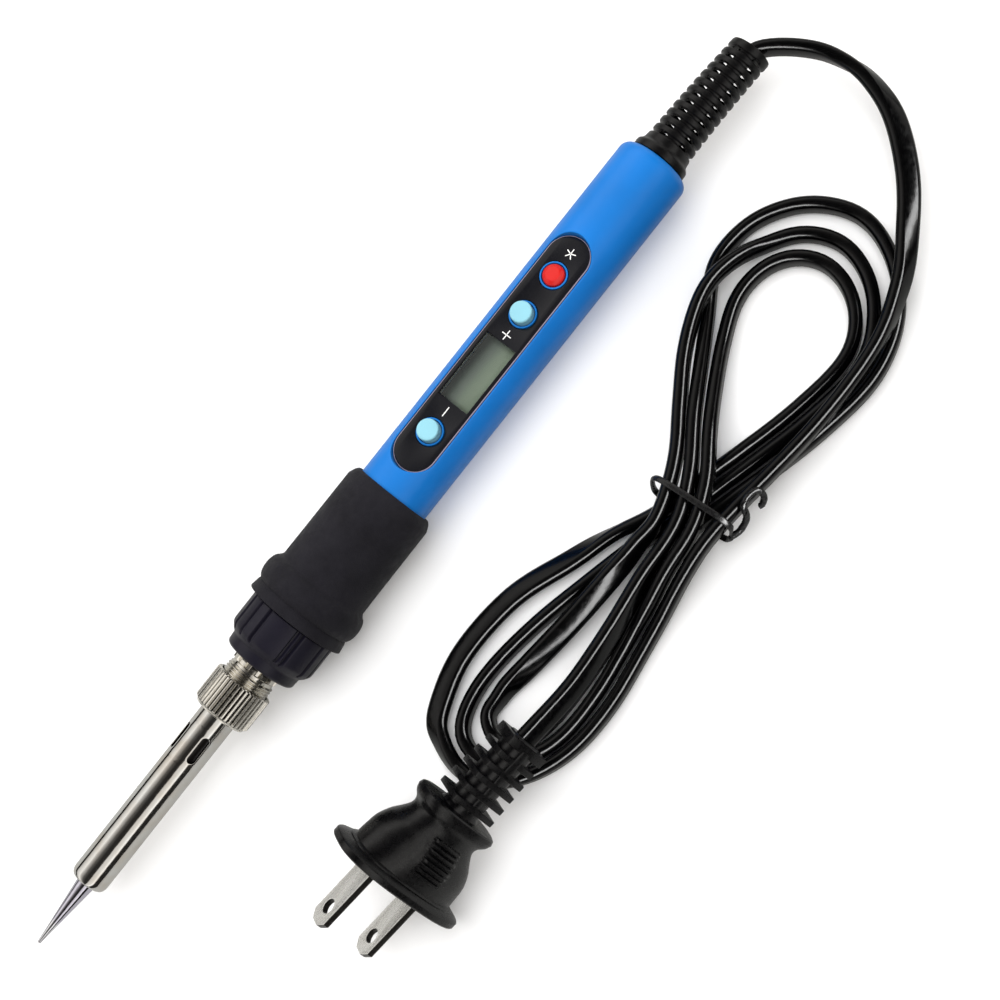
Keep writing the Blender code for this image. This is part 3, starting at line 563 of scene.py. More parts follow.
def vinyl(name, roughness, streaks=0.0, grain=5.0, depth=0.008, shine=0.5, tone=1.0):
    """Black PVC: nearly black, glossy, with handling marks and, on the cord, extrusion lines."""
    look = Look(name, Specular_IOR_Level=shine)
    dark, pale = shaded((0.022, 0.022, 0.032), tone), shaded((0.055, 0.053, 0.068), tone)
    black = look.ramp(look.noise(0.2, 3.0), (0.3, dark), (0.75, pale))
    marks = look.noise(1.1, 5.0, 0.7)
    gloss = look.span(marks, roughness - 0.05, roughness + 0.12, (0.35, 0.75))
    layers = [(look.noise(0.35, 1.0), 0.05), (look.noise(grain), depth)]
    if streaks:
        layers.append((look.noise(1.6, where=look.stretched(0.12, 2.2, 2.2)), streaks))
    return look.finish(black, gloss, layers)


def metal(name, colour, roughness, lines, depth, tint=None, shaded_inside=None, shaded_sides=None):
    """Plated or polished metal: a stretched noise makes its fine lines, which run along the
    axis that has the least factor in lines, and slow clouds vary its colour. A zone given as
    a radius round the iron's axis and a stretch along it gets painted shade, and so do the
    side faces of a stamped sheet when the way it faces is given."""
    look = Look(name, Metallic=0.75 if shaded_sides else 1.0)
    scratches = look.noise(1.0, 3.0, 0.6, look.stretched(*lines))
    clouds = look.noise(0.22, 3.0)
    tone = look.ramp(clouds, (0.35, tint or shaded(colour, 0.9)), (0.65, colour))
    if shaded_inside:
        # Painted shade inside the given radius and stretch
        tone = look.mix(inner_shade(look, *shaded_inside), tone, PAINTED_SHADE)
    if shaded_sides:
        # Painted shade on side faces, whose normals lie across the way the sheet faces
        facing = look.vector("DOT_PRODUCT", look.node("TexCoord").outputs["Normal"], shaded_sides)
        side_shade = look.span(look.maths("ABSOLUTE", facing), 1.0, 0.0, (0.25, 0.6))
        tone = look.mix(side_shade, tone, SIDE_SHADE)
    spots = look.span(look.noise(1.4, 4.0), 0.0, 0.10)
    gloss = look.maths("ADD", look.span(scratches, roughness * 0.7, roughness * 1.25), spots)
    return look.finish(tone, gloss, ((look.noise(0.5, 1.0), 0.02), (scratches, depth)))


def inner_shade(look, inside, rear, front):
    """Where painted shade lies: within a radius of the iron's axis, between two stations along it."""
    across = look.vector("MULTIPLY", look.vector("ADD", look.here, (0, 0, -AXIS_Z)), (0, 1, 1))
    amount = look.span(look.vector("LENGTH", across), 1.0, 0.0, (inside, inside + 0.12))
    x = look.parts(look.here)[0]
    for edge, step in ((rear, 0.1), (front, -0.1)):
        amount = look.maths("MULTIPLY", amount, look.span(x, 0.0, 1.0, (edge, edge + step)))
    return amount


def tip_material():
    """The bit: plated and finely turned, with a brighter, uneven tinned end, and painted shade on the part
    inside the barrel.
    """
    look = Look("tip_plating", Metallic=1.0)
    x = look.parts(look.here)[0]
    along = look.maths("ADD", x, look.maths("MULTIPLY", look.noise(0.7), 2.4))
    tinned = look.span(along, 0.0, 1.0, (TIP_END - 5.2, TIP_END - 3.9))
    tone = look.mix(tinned, screen((0.80, 0.79, 0.84)), screen((0.90, 0.90, 0.92)))
    # Painted shade on the part of the bit inside the barrel
    buried = look.span(x, 0.0, 1.0, (BARREL_FRONT - 1.0, BARREL_FRONT - 1.5))
    tone = look.mix(buried, tone, PAINTED_SHADE)
    lines = look.noise(1.0, where=look.stretched(7.0, 0.15, 0.15))
    gloss = look.maths("SUBTRACT", look.span(lines, 0.06, 0.14), look.maths("MULTIPLY", tinned, 0.06))
    return look.finish(tone, gloss, ((look.noise(0.9), 0.03), (lines, 0.004)))


def display_material():
    """The display cell: grey-green, with painted shade that darkens it towards -Y, and the faint
    grid of its electrodes."""
    look = Look("display_cell")
    y = look.parts(look.here)[1]
    # Painted shade: the tone darkens towards -Y
    reach = look.maths("MULTIPLY_ADD", look.noise(0.1), 1.6, y)
    stops = (0.0, (0.20, 0.21, 0.22)), (0.35, (0.36, 0.38, 0.38)), (0.65, (0.46, 0.49, 0.46))
    tone = look.ramp(look.span(reach, 0.0, 1.0, (-2.6, 3.6)), *stops, (1.0, (0.50, 0.53, 0.49)))
    waves = look.node("TexWave", {"Vector": look.here, "Scale": 2.0, "Distortion": 0.0}).outputs[1]
    gloss = look.span(waves, 0.22, 0.3, (0.0, 1.0))
    return look.finish(tone, gloss, ((look.noise(6.0), 0.003),))


def window_material():
    """The clear window over the display: mostly lets light through, with a glossy face."""
    look = Look("display_window")
    look.tree.nodes.remove(look.shader)
    smear = look.span(look.noise(0.4, 4.0), 0.03, 0.12)
    gloss = look.node("BsdfGlossy", {"Color": (0.9, 0.95, 0.92, 1), "Roughness": smear})
    clear = look.node("BsdfTransparent", {"Color": screen((0.975, 0.985, 0.97))})
    rim = look.node("Fresnel", {"IOR": 1.45}).outputs[0]
    look.mixed_shader(rim, clear, gloss, "Material Output")
    return look.material


def panel_material():
    """The panel's glossy black overlay, with a pale painted highlight along its edge."""
    look = Look("panel_black", Specular_IOR_Level=0.4)
    x, y, _ = look.parts(look.here)
    core = (PANEL_FRONT - PANEL_REAR) / 2 - PANEL_HALF
    along = look.maths("ABSOLUTE", look.maths("SUBTRACT", x, PANEL_MIDDLE))
    beyond = look.maths("MAXIMUM", look.maths("SUBTRACT", along, core), 0.0)
    reach = look.vector("LENGTH", look.node("CombineXYZ", {0: beyond, 1: y}).outputs[0])
    # A pale painted highlight along the plate's rim
    edge = look.span(reach, 0.0, 1.0, (PANEL_HALF - 0.22, PANEL_HALF - 0.12))
    ink = look.ramp(look.noise(0.12, 3.0), (0.3, (0.055, 0.056, 0.072)), (0.7, (0.075, 0.077, 0.094)))
    tone = look.mix(edge, ink, screen((0.60, 0.56, 0.62)))
    gloss = look.span(look.noise(0.5, 4.0), 0.12, 0.22)
    return look.finish(tone, gloss, ((look.noise(0.4, 1.0), 0.01), (look.noise(5.0), 0.001)))


def ceramic_material():
    """White alumina, with near-black painted shade behind the bit's rear end, where it is hidden."""
    look = Look("alumina")
    tone = look.ramp(look.noise(0.8, 4.0), (0.3, (0.86, 0.83, 0.78)), (0.7, (0.95, 0.94, 0.91)))
    # Near-black painted shade on the rod behind the bit's rear end
    rear_shade = look.span(look.parts(look.here)[0], 1.0, 0.0, (TIP_REAR, TIP_REAR + 2.0))
    specks = look.noise(8.0)
    return look.finish(look.mix(rear_shade, tone, PAINTED_SHADE), look.span(specks, 0.42, 0.6), ((specks, 0.01),))


def board_material():
    """Green solder mask over raised copper tracks."""
    look = Look("solder_mask", Coat_Weight=0.3)
    bricks = look.node("TexBrick", {"Vector": look.here, "Scale": 0.45, "Mortar Size": 0.06})
    tracks = bricks.outputs["Fac"]
    tone = look.ramp(tracks, (0.2, (0.05, 0.30, 0.16)), (0.8, (0.14, 0.45, 0.22)))
    return look.finish(tone, look.span(look.noise(1.0, 3.0), 0.3, 0.5), ((tracks, 0.04),))


BLUE = moulded("blue_plastic", (0.06, 0.425, 0.735), 0.36, 4.0, 0.006, 0.025, 0.3)
CAP_BLUE = moulded("cap_blue", (0.52, 0.74, 0.80), 0.34, 5.0, 0.005, 0.03)
CAP_RED = moulded("cap_red", (0.78, 0.10, 0.08), 0.33, 5.0, 0.005, 0.04)
PANEL_BLACK = panel_material()
NOSE_BLACK = moulded("nose_black", (0.082, 0.076, 0.115), 0.40, 4.0, 0.010, 0.12, 0.3)
PART_BLACK = moulded("part_black", (0.10, 0.10, 0.11), 0.5, 4.0, 0.012, 0.1)
FILM_YELLOW = moulded("film_yellow", (0.85, 0.62, 0.12), 0.42, 4.0, 0.01)
WIRES = {}
for wire, colour, vary in (
    ("wire_red", (0.75, 0.12, 0.10), 0.06),
    ("wire_white", (0.90, 0.90, 0.88), 0.03),
    ("wire_blue", (0.15, 0.30, 0.70), 0.06),
    ("wire_brown", (0.36, 0.20, 0.11), 0.06),
):
    WIRES[wire] = moulded(wire, colour, 0.4, 4.0, 0.006, vary)
PRINT_WHITE = moulded("print_white", (0.93, 0.93, 0.92), 0.5, 6.0, 0.004, 0.03)
RUBBER = rubber_material()
CORD_VINYL = vinyl("cord_vinyl", 0.15, streaks=0.004, shine=0.24, tone=0.15)
BOOT_VINYL = vinyl("boot_vinyl", 0.34, grain=4.0, depth=0.015, shine=0.42, tone=0.3)
PLUG_VINYL = vinyl("plug_vinyl", 0.28, grain=4.0, depth=0.012, shine=0.42, tone=0.35)
TIE_VINYL = vinyl("tie_vinyl", 0.26, grain=6.0, tone=0.3)
# Painted shade over the barrel's bore
BARREL_BORE_SHADE = (BARREL_R - 0.3, 0.0, BARREL_FRONT - 0.6)
STEEL = metal(
    "polished_steel", (0.84, 0.84, 0.83), 0.045, (0.06, 2.0, 2.0), 0.0012, (0.81, 0.79, 0.76), BARREL_BORE_SHADE
)
EVEN = (1.5, 1.5, 1.5)
NICKEL = metal("nickel_plate", (0.88, 0.865, 0.83), 0.13, EVEN, 0.004)
# Painted shade in the bottoms of the nut's knurl grooves
NUT_GROOVE_SHADE = (NUT_R - 0.34, NUT_REAR + 0.2, NUT_FRONT - 0.5)
NUT_NICKEL = metal("nut_nickel", (0.96, 0.945, 0.91), 0.22, EVEN, 0.003, shaded_inside=NUT_GROOVE_SHADE)
TIP_PLATE = tip_material()
CERAMIC = ceramic_material()
DISPLAY = display_material()
WINDOW = window_material()
BOARD = board_material()


# Heated end
def build_tip():
    """The bit: a slender cone with a blunt point, a shoulder inside the barrel and a sleeve."""
    shoulder, bore_end = BARREL_FRONT - 1.6, 71.8
    corners = [
        (TIP_END, 0.0), (TIP_END, 0.40, 0.18), (TIP_END - 3.2, 0.70, 0.8),
        (BARREL_FRONT + 0.4, TIP_CONE_R, 0.3), (shoulder, TIP_CONE_R + 0.1),
        (shoulder, TIP_SLEEVE_R, 0.3), (TIP_REAR, TIP_SLEEVE_R, 0.3),
        (TIP_REAR, TIP_BORE, 0.2), (bore_end, TIP_BORE), (bore_end + 0.8, 0.0),
    ]
    piece("solder_tip", lathe(corners, 72), TIP_PLATE, "tip_plating", "tip", ["tip"])


def slot_patch(half_length, half_width, reach, straight, arc):
    """Rings from the barrel's outer wall through a rounded slot to its inner wall."""
    half_angle, edge, soft = 45.0, 0.13, 3

    def mouth(offset):
        return stadium(half_length - half_width, half_width + offset, straight, arc)

    def wall(radius):
        rim = tube_rim(radius, reach, half_angle, straight, arc)
        return to_mouth(radius, rim, mouth(edge), (0.0, 0.3, 0.6, 0.85))

    rings = wall(BARREL_R) + rounded_mouth(BARREL_R, mouth, edge, soft)
    return rings + [on_tube(BARREL_BORE, mouth(0.0))] + wall(BARREL_BORE)[::-1]


def build_barrel():
    """The polished steel sleeve with four punched vent slots and a rolled front rim."""
    slots, first_angle, slot_x = 4, 39.25, 39.25
    half_length, half_width, straight, arc = 3.25, 0.92, 12, 24
    mouth, collar_front, collar_r = 2.6, 29.3, NUT_BORE - 0.6
    reach = half_length + 1.6
    stations = spread(slot_x + reach, slot_x - reach, straight)
    corners = [(BARREL_FRONT, BARREL_R - 0.5, 0.45), (BARREL_FRONT - 1.0, BARREL_R, 0.6)]
    corners += [(x, BARREL_R) for x in stations]
    corners += [(collar_front, BARREL_R), (collar_front, collar_r, 0.1), (BARREL_REAR, collar_r, 0.1)]
    corners += [(BARREL_REAR, BARREL_BORE)] + [(x, BARREL_BORE) for x in reversed(stations)]
    corners += [(BARREL_FRONT - 1.1, BARREL_BORE), (BARREL_FRONT - 0.5, mouth), (BARREL_FRONT, mouth, 0.2)]
    meshes = [lathe(corners, slots * arc, bored=True)]
    drop_faces(meshes[0], lambda c: abs(c.x - slot_x) < reach)
    rings = slot_patch(half_length, half_width, reach, straight, arc)
    for turn in range(slots):
        shape = Shape()
        shape.rings(turn_patch(rings, slot_x, first_angle + 90 * turn))
        meshes.append(mesh_from(shape))
    piece("barrel_tube", joined(meshes, 0.02), STEEL, "steel", "barrel", ["barrel"])


def build_nut():
    """The straight-knurled nut: narrow grooves between rounded crests, chamfered at both ends."""
    flutes, samples, depth, width = 40, 9, 0.46, 0.24
    collar_rear = 29.6

    def knurl(height, radius, degrees):
        if radius < NUT_BORE + 0.05:
            return radius
        phase = (degrees * flutes / 360.0) % 1.0
        groove = max(0.0, 1 - abs(phase - 0.5) / width)
        crest = 0.05 * (2 * abs(phase - 0.5) - 1)
        return min(radius, NUT_R + crest - depth * groove ** 0.8)

    corners = [(NUT_FRONT, NUT_BORE + 0.1, 0.1), (NUT_FRONT - 0.25, NUT_R - 0.75, 0.15)]
    corners.append((NUT_FRONT - 0.9, NUT_R, 0.2))
    corners += [(x, NUT_R) for x in spread(NUT_FRONT - 1.4, NUT_REAR + 0.9, 6)]
    corners += [
        (NUT_REAR + 0.3, NUT_R, 0.15), (NUT_REAR, NUT_R - 0.5, 0.1), (NUT_REAR, NUT_BORE, 0.1),
        (collar_rear, NUT_BORE), (collar_rear, BARREL_R + GAP), (NUT_FRONT, BARREL_R + GAP, 0.15),
    ]
    mesh = lathe(corners, flutes * samples, radius=knurl, bored=True)
    piece("nut_knurled", mesh, NUT_NICKEL, "nickel", "nut", ["knurled_nut"], 25)


def build_insert():
    """The insert: a real helical thread, castellated lugs, a neck and a flange in the nose."""
    steps, lugs, notch = 96, 12, 0.36
    root, neck, bore = THREAD_R - 0.48, 4.6, 3.0
    thread_rear, lug_front, lug_rear = 19.9, 19.2, 17.8
    lug_r, flange_front, flange_r = THREAD_R - 0.12, 9.6, 5.1

    def outside(height, radius, degrees):
        if radius < neck + 0.02:
            return radius
        if height > thread_rear - 0.05:
            phase = (height / THREAD_PITCH + degrees / 360.0) % 1.0
            ridge = min(1.0, 1.25 * (1 - abs(2 * phase - 1)))
            fade = min(1.0, (INSERT_FRONT - height) / 0.7, (height - thread_rear) / 0.4 + 0.05)
            return root + (THREAD_R - root) * ridge * max(0.0, fade)
        if lug_rear - 0.1 < height < lug_front + 0.1:
            return neck + 0.05 if (degrees * lugs / 360.0) % 1.0 < notch else radius
        return radius

    corners = [(INSERT_FRONT, root - 0.2)]
    corners += [(x, root + 0.1) for x in spread(INSERT_FRONT - 0.1, thread_rear, 120)]
    corners += [
        (lug_front + 0.15, root - 0.05), (lug_front, THREAD_R - 0.25), (lug_front - 0.12, lug_r),
        (lug_rear + 0.1, lug_r), (lug_rear, THREAD_R - 0.2), (lug_rear - 0.11, neck),
        (flange_front, neck), (flange_front, flange_r, 0.1), (INSERT_REAR, flange_r, 0.1),
        (INSERT_REAR, bore), (INSERT_FRONT, bore),
    ]
    mesh = lathe(corners, steps, radius=outside, bored=True)
    piece("insert_threaded", mesh, NICKEL, "nickel", "handle", ["threaded_insert"], 40)


def build_nose():
    """The black nose: unevenly spaced grooves round a barrel-shaped body, then a collar."""
    grooves = [g + turn for turn in (0, 120, 240) for g in (-45.0, -26.5, -8.0, 34.0, 41.5)]
    half_width, depth = 2.6, 0.75
    collar_r, spigot_r = 8.5, HANDLE_BORE - GAP
    spigot_bore, seat_bore, seat = 5.4, 4.9, 9.9
    body_rear, groove_front = 5.5, 14.0

    def fluted(height, radius, degrees):
        if not body_rear - 0.01 < height < groove_front or radius < collar_r + 0.1:
            return radius
        nearest = min(abs((degrees - g + 180) % 360 - 180) for g in grooves)
        fade = min(1.0, (groove_front - height) / 0.5)
        dip = max(0.0, min(1.0, 1.6 * (1 - nearest / half_width)))
        return max(collar_r, radius - depth * fade * dip)

    corners = [
        (NOSE_FRONT, collar_r - 0.5, 0.3), (NOSE_FRONT - 0.5, collar_r, 0.3),
        (14.9, collar_r + 0.15, 0.3), (14.2, NOSE_R - 0.9, 0.3), (13.1, NOSE_R - 0.1, 0.4),
    ]
    corners += [(x, NOSE_R) for x in spread(12.3, body_rear + 0.6, 4)]
    corners += [
        (body_rear, NOSE_R, 0.2), (body_rear, spigot_r), (NOSE_REAR, spigot_r, 0.3),
        (NOSE_REAR, spigot_bore), (seat, spigot_bore), (seat, seat_bore), (NOSE_FRONT, seat_bore, 0.2),
    ]
    mesh = lathe(corners, 360, 4, radius=fluted, bored=True)
    piece("nose_fluted", mesh, NOSE_BLACK, "nose_black", "handle", ["nose_piece"])


def build_heater():
    """The ceramic rod that the bit slides on, slightly thicker over its winding."""
    rear, front = ends("heater_rod")
    radius, winding_r = 1.82, 1.85
    corners = [
        (front, 0.0), (front, radius - 0.22, 0.2), (front - 0.6, radius, 0.3), (front - 4.0, radius),
        (front - 4.1, winding_r), (front - 18.0, winding_r), (front - 18.1, radius),
        (rear, radius, 0.3), (rear, 0.0),
    ]
    mesh = lathe(corners, 48)
    piece("heater_ceramic", mesh, CERAMIC, "ceramic", "handle", ["heater_rod"])


# Grip and handle
def build_grip():
    """The soft sleeve: a sharp lip, a thick ring with a resting flat, and a rounded end."""
    lip_r, sleeve_r, bore = 11.9, 10.55, HANDLE_R + GAP
    ring_x, ring_half, ring_base = -0.6, 3.1, 11.0
    corners = [(GRIP_FRONT, lip_r, 0.25), (2.9, lip_r - 0.35, 0.4)]
    for degrees in spread(12, 168, 12):
        along, out = polar(1.0, degrees)
        corners.append((ring_x + ring_half * along, ring_base + (GRIP_R - ring_base) * out))
    corners += [
        (-4.4, sleeve_r + 0.05, 0.4), (-12.0, sleeve_r), (GRIP_REAR + 2.2, sleeve_r - 0.05, 0.3),
        (GRIP_REAR + 0.7, sleeve_r - 0.7, 0.5), (GRIP_REAR, HANDLE_R + 0.8, 0.35),
        (GRIP_REAR + 0.2, bore, 0.1), (GRIP_FRONT, bore, 0.2),
    ]
    shape = turned(filleted(corners), 144, bored=True)
    shape.points = [(x, y, max(z, 0.0)) for x, y, z in shape.points]
    mesh = mesh_from(shape)
    piece("grip_sleeve_soft", mesh, RUBBER, "grip_rubber", "handle", ["grip_sleeve"], 50)


def pocket_patch(half_length, half_width, opening, reach, half_angle, straight, arc):
    """Rings from the handle's crown down into the panel's pocket, round the display's opening
    in the deck, and back out under the deck to the handle's bore. opening is the place of that
    opening along the pocket and its two half sizes."""
    edge, soft, wall = 0.3, 4, 0.8
    deck = DECK_TOP - AXIS_Z
    under = deck - DECK_THICK

    def rim(radius):
        return tube_rim(radius, reach, half_angle, straight, arc)

    def mouth(offset):
        return stadium(half_length - half_width, half_width + offset, straight, arc)

    window_x, half_x, half_y = opening
    lip = [(x + window_x, y) for x, y in rectangle(half_x, half_y, straight, spread(1, -1, arc))]
    rings = to_mouth(HANDLE_R, rim(HANDLE_R), mouth(edge), (0.0, 0.25, 0.5, 0.75, 0.92))
    rings += rounded_mouth(HANDLE_R, mouth, edge, soft)
    for height, ring in ((deck, mouth(0.0)), (deck, lip), (under, lip), (under, mouth(wall))):
        rings.append([(x, y, height) for x, y in ring])
    return rings + [on_tube(HANDLE_BORE, mouth(wall)), on_tube(HANDLE_BORE, rim(HANDLE_BORE))]


def build_handle():
    """The blue tube: a moulded pocket for the panel, and rings that guide the buttons."""
    steps, straight, arc, half_angle = 128, 44, 40, 56.25
    edge, outlet, inside = 2.3, 5.7, HANDLE_REAR + HANDLE_WALL
    half_length = (PANEL_FRONT - PANEL_REAR) / 2 + POCKET_GAP
    reach = half_length + 5.0
    opening = (middle("lcd_window", "X") - PANEL_MIDDLE, 8.8, 4.3)
    rings = pocket_patch(half_length, PANEL_HALF + POCKET_GAP, opening, reach, half_angle, straight, arc)
    stations = spread(PANEL_MIDDLE + reach, PANEL_MIDDLE - reach, straight)
    corners = [(HANDLE_FRONT, HANDLE_R, 0.3)] + [(x, HANDLE_R) for x in stations]
    for degrees in spread(0, 75, 6):
        out, back = polar(edge, degrees)
        corners.append((HANDLE_REAR + edge - back, HANDLE_R - edge + out))
    corners += [(HANDLE_REAR, outlet + 0.2, 0.15), (HANDLE_REAR + 0.3, outlet), (inside, outlet)]
    corners += [(inside, HANDLE_BORE)] + [(x, HANDLE_BORE) for x in reversed(stations)]
    tube = lathe(corners + [(HANDLE_FRONT, HANDLE_BORE)], steps, bored=True)

    def in_patch(place):
        angle = abs(math.degrees(math.atan2(place.y, place.z - AXIS_Z)))
        return abs(place.x - PANEL_MIDDLE) < reach and angle < half_angle

    drop_faces(tube, in_patch)
    patch = Shape()
    patch.rings(turn_patch(rings, PANEL_MIDDLE, 0.0))
    meshes = [tube, mesh_from(patch)]
    top, foot = PANEL_TOP + 0.2, DECK_TOP - 0.2
    ring = [(top, BOSS_R, 0.12), (foot, BOSS_R), (foot, BOSS_BORE), (top, BOSS_BORE, 0.12)]
    for name in BUTTONS:
        place = upright(middle("button_" + name, "X"), middle("button_" + name, "Y"))
        meshes.append(lathe(ring, 64, place=place, bored=True))
    mesh = joined(meshes, 0.01)
    piece("handle_tube", mesh, BLUE, "blue_plastic", "handle", ["handle_shell"])


def slab(name, node_name, edge, material, slot):
    """A block with rounded edges in the place of a CAD node."""
    size = [size_of(node_name, axis) for axis in "XYZ"]
    place = at(*[middle(node_name, axis) for axis in "XYZ"])
    piece(name, block(size, place, edge), material, slot, "handle", [node_name])


def build_panel():
    """The glossy plate over the deck, with the window and the display in it."""
    thick, edge, window_gap, boss_gap = size_of("panel_overlay", "Z"), 0.16, 0.1, 0.15
    outlines = [stadium(size_of("panel_overlay", "X") / 2 - PANEL_HALF, PANEL_HALF, 8, 32)]
    window_x = middle("lcd_window", "X") - PANEL_MIDDLE
    half_x, half_y = [size_of("lcd_window", axis) / 2 + window_gap for axis in "XY"]
    quarters = ((1, 1), (-1, 1), (-1, -1), (1, -1))
    outlines.append([(window_x + half_x * i, half_y * j) for i, j in quarters])
    for name in BUTTONS:
        outlines.append(circle(middle("button_" + name, "X") - PANEL_MIDDLE, BOSS_R + boss_gap))
    place = at(PANEL_MIDDLE, 0, PANEL_TOP - thick / 2)
    mesh = plate_mesh(outlines, thick, edge, place)
    piece("panel_plate", mesh, PANEL_BLACK, "panel_black", "handle", ["panel_overlay"])
    slab("display_window", "lcd_window", 0.08, WINDOW, "clear")
    slab("display_cell", "lcd_glass", 0.1, DISPLAY, "lcd_grey")


def bar(x, y, length, degrees):
    """A flat printed stroke on the panel."""
    thick, width, sunk = 0.03, 0.22, 0.01
    outline = stadium(length / 2 - width / 2, width / 2, 1, 6)
    place = at(x, y, PANEL_TOP + thick / 2 - sunk) @ Matrix.Rotation(math.radians(degrees), 4, "Z")
    return plate_mesh([outline], thick, 0.005, place)


def build_signs():
    """The minus, plus and star printed beside the buttons."""
    minus, plus, star = -49.1, -69.6, -91.2
    length, arm, spread_r, arms = 2.4, 1.3, 0.6, 5
    strokes = {"sign_minus": [bar(minus, 0, length, 0)]}
    strokes["sign_plus"] = [bar(plus, 0, length, degrees) for degrees in (0, 90)]
    strokes["sign_star"] = []
    for degrees in spread(180, 540, arms)[:-1]:
        x, y = polar(spread_r, degrees)
        strokes["sign_star"].append(bar(star + x, y, arm, degrees))
    for name, meshes in strokes.items():
        piece(name, joined(meshes, 0.0001), PRINT_WHITE, "wire_white", "handle")


def build_buttons():
    """The caps: two flat-topped pale blue ones and a bevelled red one, each with a skirt below."""
    for name in BUTTONS:
        node_name = "button_" + name
        top, foot = high(node_name, "Z") - 0.35, low(node_name, "Z")
        skirt, ledge = size_of(node_name, "X") / 2, foot + 0.6
        if name == "set":
            slot, material = "cap_red", CAP_RED
            corners = [(top, 0.0), (top, 1.5, 0.15), (top - 0.65, BUTTON_R - 0.08, 0.25)]
            corners += [(top - 1.0, BUTTON_R)]
        else:
            slot, material = "cap_blue", CAP_BLUE
            corners = [(top - 0.06, 0.0), (top - 0.05, 1.0), (top, 1.75), (top, BUTTON_R - 0.2, 0.2)]
            corners += [(top - 0.3, BUTTON_R, 0.15)]
        corners += [(ledge, BUTTON_R + 0.02), (ledge, skirt, 0.1), (foot, skirt, 0.1), (foot, 0.0)]
        place = upright(middle(node_name, "X"), middle(node_name, "Y"))
        mesh = lathe(corners, 64, place=place)
        piece("cap_" + name, mesh, material, slot, name + "_button", [node_name], 40)


# Boot
def boot_droop(x):
    """How far the boot and the cord inside it sag towards +Y at x."""
    sag, start = 1.1, HANDLE_REAR - 2.5
    reach = max(0.0, (start - x) / (start - BOOT_REAR))
    return sag * reach * reach


def build_boot():
    """The bend relief: twelve rings, with rows of windows either side of its struts, that sags
    a little with the cord."""
    rings, pitch, slot, groove = 12, 2.16, 0.95, 0.52
    head, neck, collar, end = HANDLE_BORE - 0.4, 5.4, 6.5, 4.8
    first, outside = HANDLE_REAR - 4.4, HANDLE_REAR - 0.15
    inside = HANDLE_REAR + HANDLE_WALL + GAP
    window_offset, window_width = 2.5, 1.9
    corners = [
        (BOOT_FRONT, 0.0), (BOOT_FRONT, head - 1.0, 0.6), (BOOT_FRONT - 1.2, head, 0.4),
        (inside, head), (inside, neck), (outside, neck), (outside, collar, 0.2),
        (HANDLE_REAR - 1.7, collar, 0.3), (HANDLE_REAR - 2.5, neck + 0.25, 0.4),
    ]
    for ring in range(rings):
        x = first - pitch * ring
        radius = neck + (end - neck) * (ring + 0.5) / rings
        corners += [(x + 0.05, radius, 0.25), (x - 0.2, radius - groove, 0.15)]
        corners += [(x - slot + 0.2, radius - groove, 0.15), (x - slot - 0.05, radius, 0.25)]
    corners += [(BOOT_REAR, end, 0.45), (BOOT_REAR, 0.0)]
    deep, shallow = first + 0.4, BOOT_REAR + 1.6
    cavity = [(deep, 0.0), (deep, 3.7, 0.3), (shallow, 3.5, 0.3), (shallow, 0.0)]
    mesh = cut(lathe(corners, 72, 2), lathe(cavity, 48))
    windows, bore = Shape(), Shape()
    for ring in range(rings):
        for offset in (-window_offset, window_offset):
            add_window(windows, first - pitch * ring - slot / 2, offset, slot, window_width)
    mesh = cut(mesh, mesh_from(windows))
    outline = stadium(CORE_SHIFT + 0.1, CORE_R + 0.45, 4, 12)
    bore.bar([[(x, b, AXIS_Z + a) for a, b in outline] for x in (BOOT_FRONT + 2, BOOT_REAR - 2)])
    mesh = cut(mesh, mesh_from(bore))
    for vertex in mesh.vertices:
        vertex.co.y += boot_droop(vertex.co.x / MM) * MM
    piece("boot_slotted", mesh, BOOT_VINYL, "pvc_black", "handle", ["cord_boot"], 38)


def add_window(shape, x, offset, length, width):
    """A see-through window beside the iron's axis, in line with the camera's tilt."""
    deep = 9.0
    cosine, sine = polar(1.0, VIEW_TILT)
    rings = []
    for depth in (-deep, deep):
        ring = []
        for a, b in stadium(width / 2 - length / 2, length / 2, 1, 6):
            across = offset + a
            y = across * cosine + depth * sine
            ring.append((x + b, y, AXIS_Z - across * sine + depth * cosine))
        rings.append(ring)
    shape.bar(rings)


# Cord
def lead_in():
    """From inside the handle, out of the boot and round the outside of the hank's top lobe."""
    inside = [(x, boot_droop(x), AXIS_Z, 0) for x in (-106, -118, -130, -142, BOOT_REAR)]
    return inside + [
        (-153.6, 5.2, 11.9, 0), (-157.2, 11.2, 11.3, 0), (-159.0, 18.2, 10.6, 12),
        (-158.2, 27.0, 10.0, 40), (-153.8, 36.0, 9.5, 65), (-146.6, 44.0, 9.1, 75),
        (-137.0, 51.2, 8.9, 60), (-126.0, 57.4, 8.8, 30), (-111.0, 61.0, HIGH + 0.1, 0),
        (-95.0, 61.3, HIGH, 0), (-80.0, 60.1, HIGH + 0.4, 0),
    ]


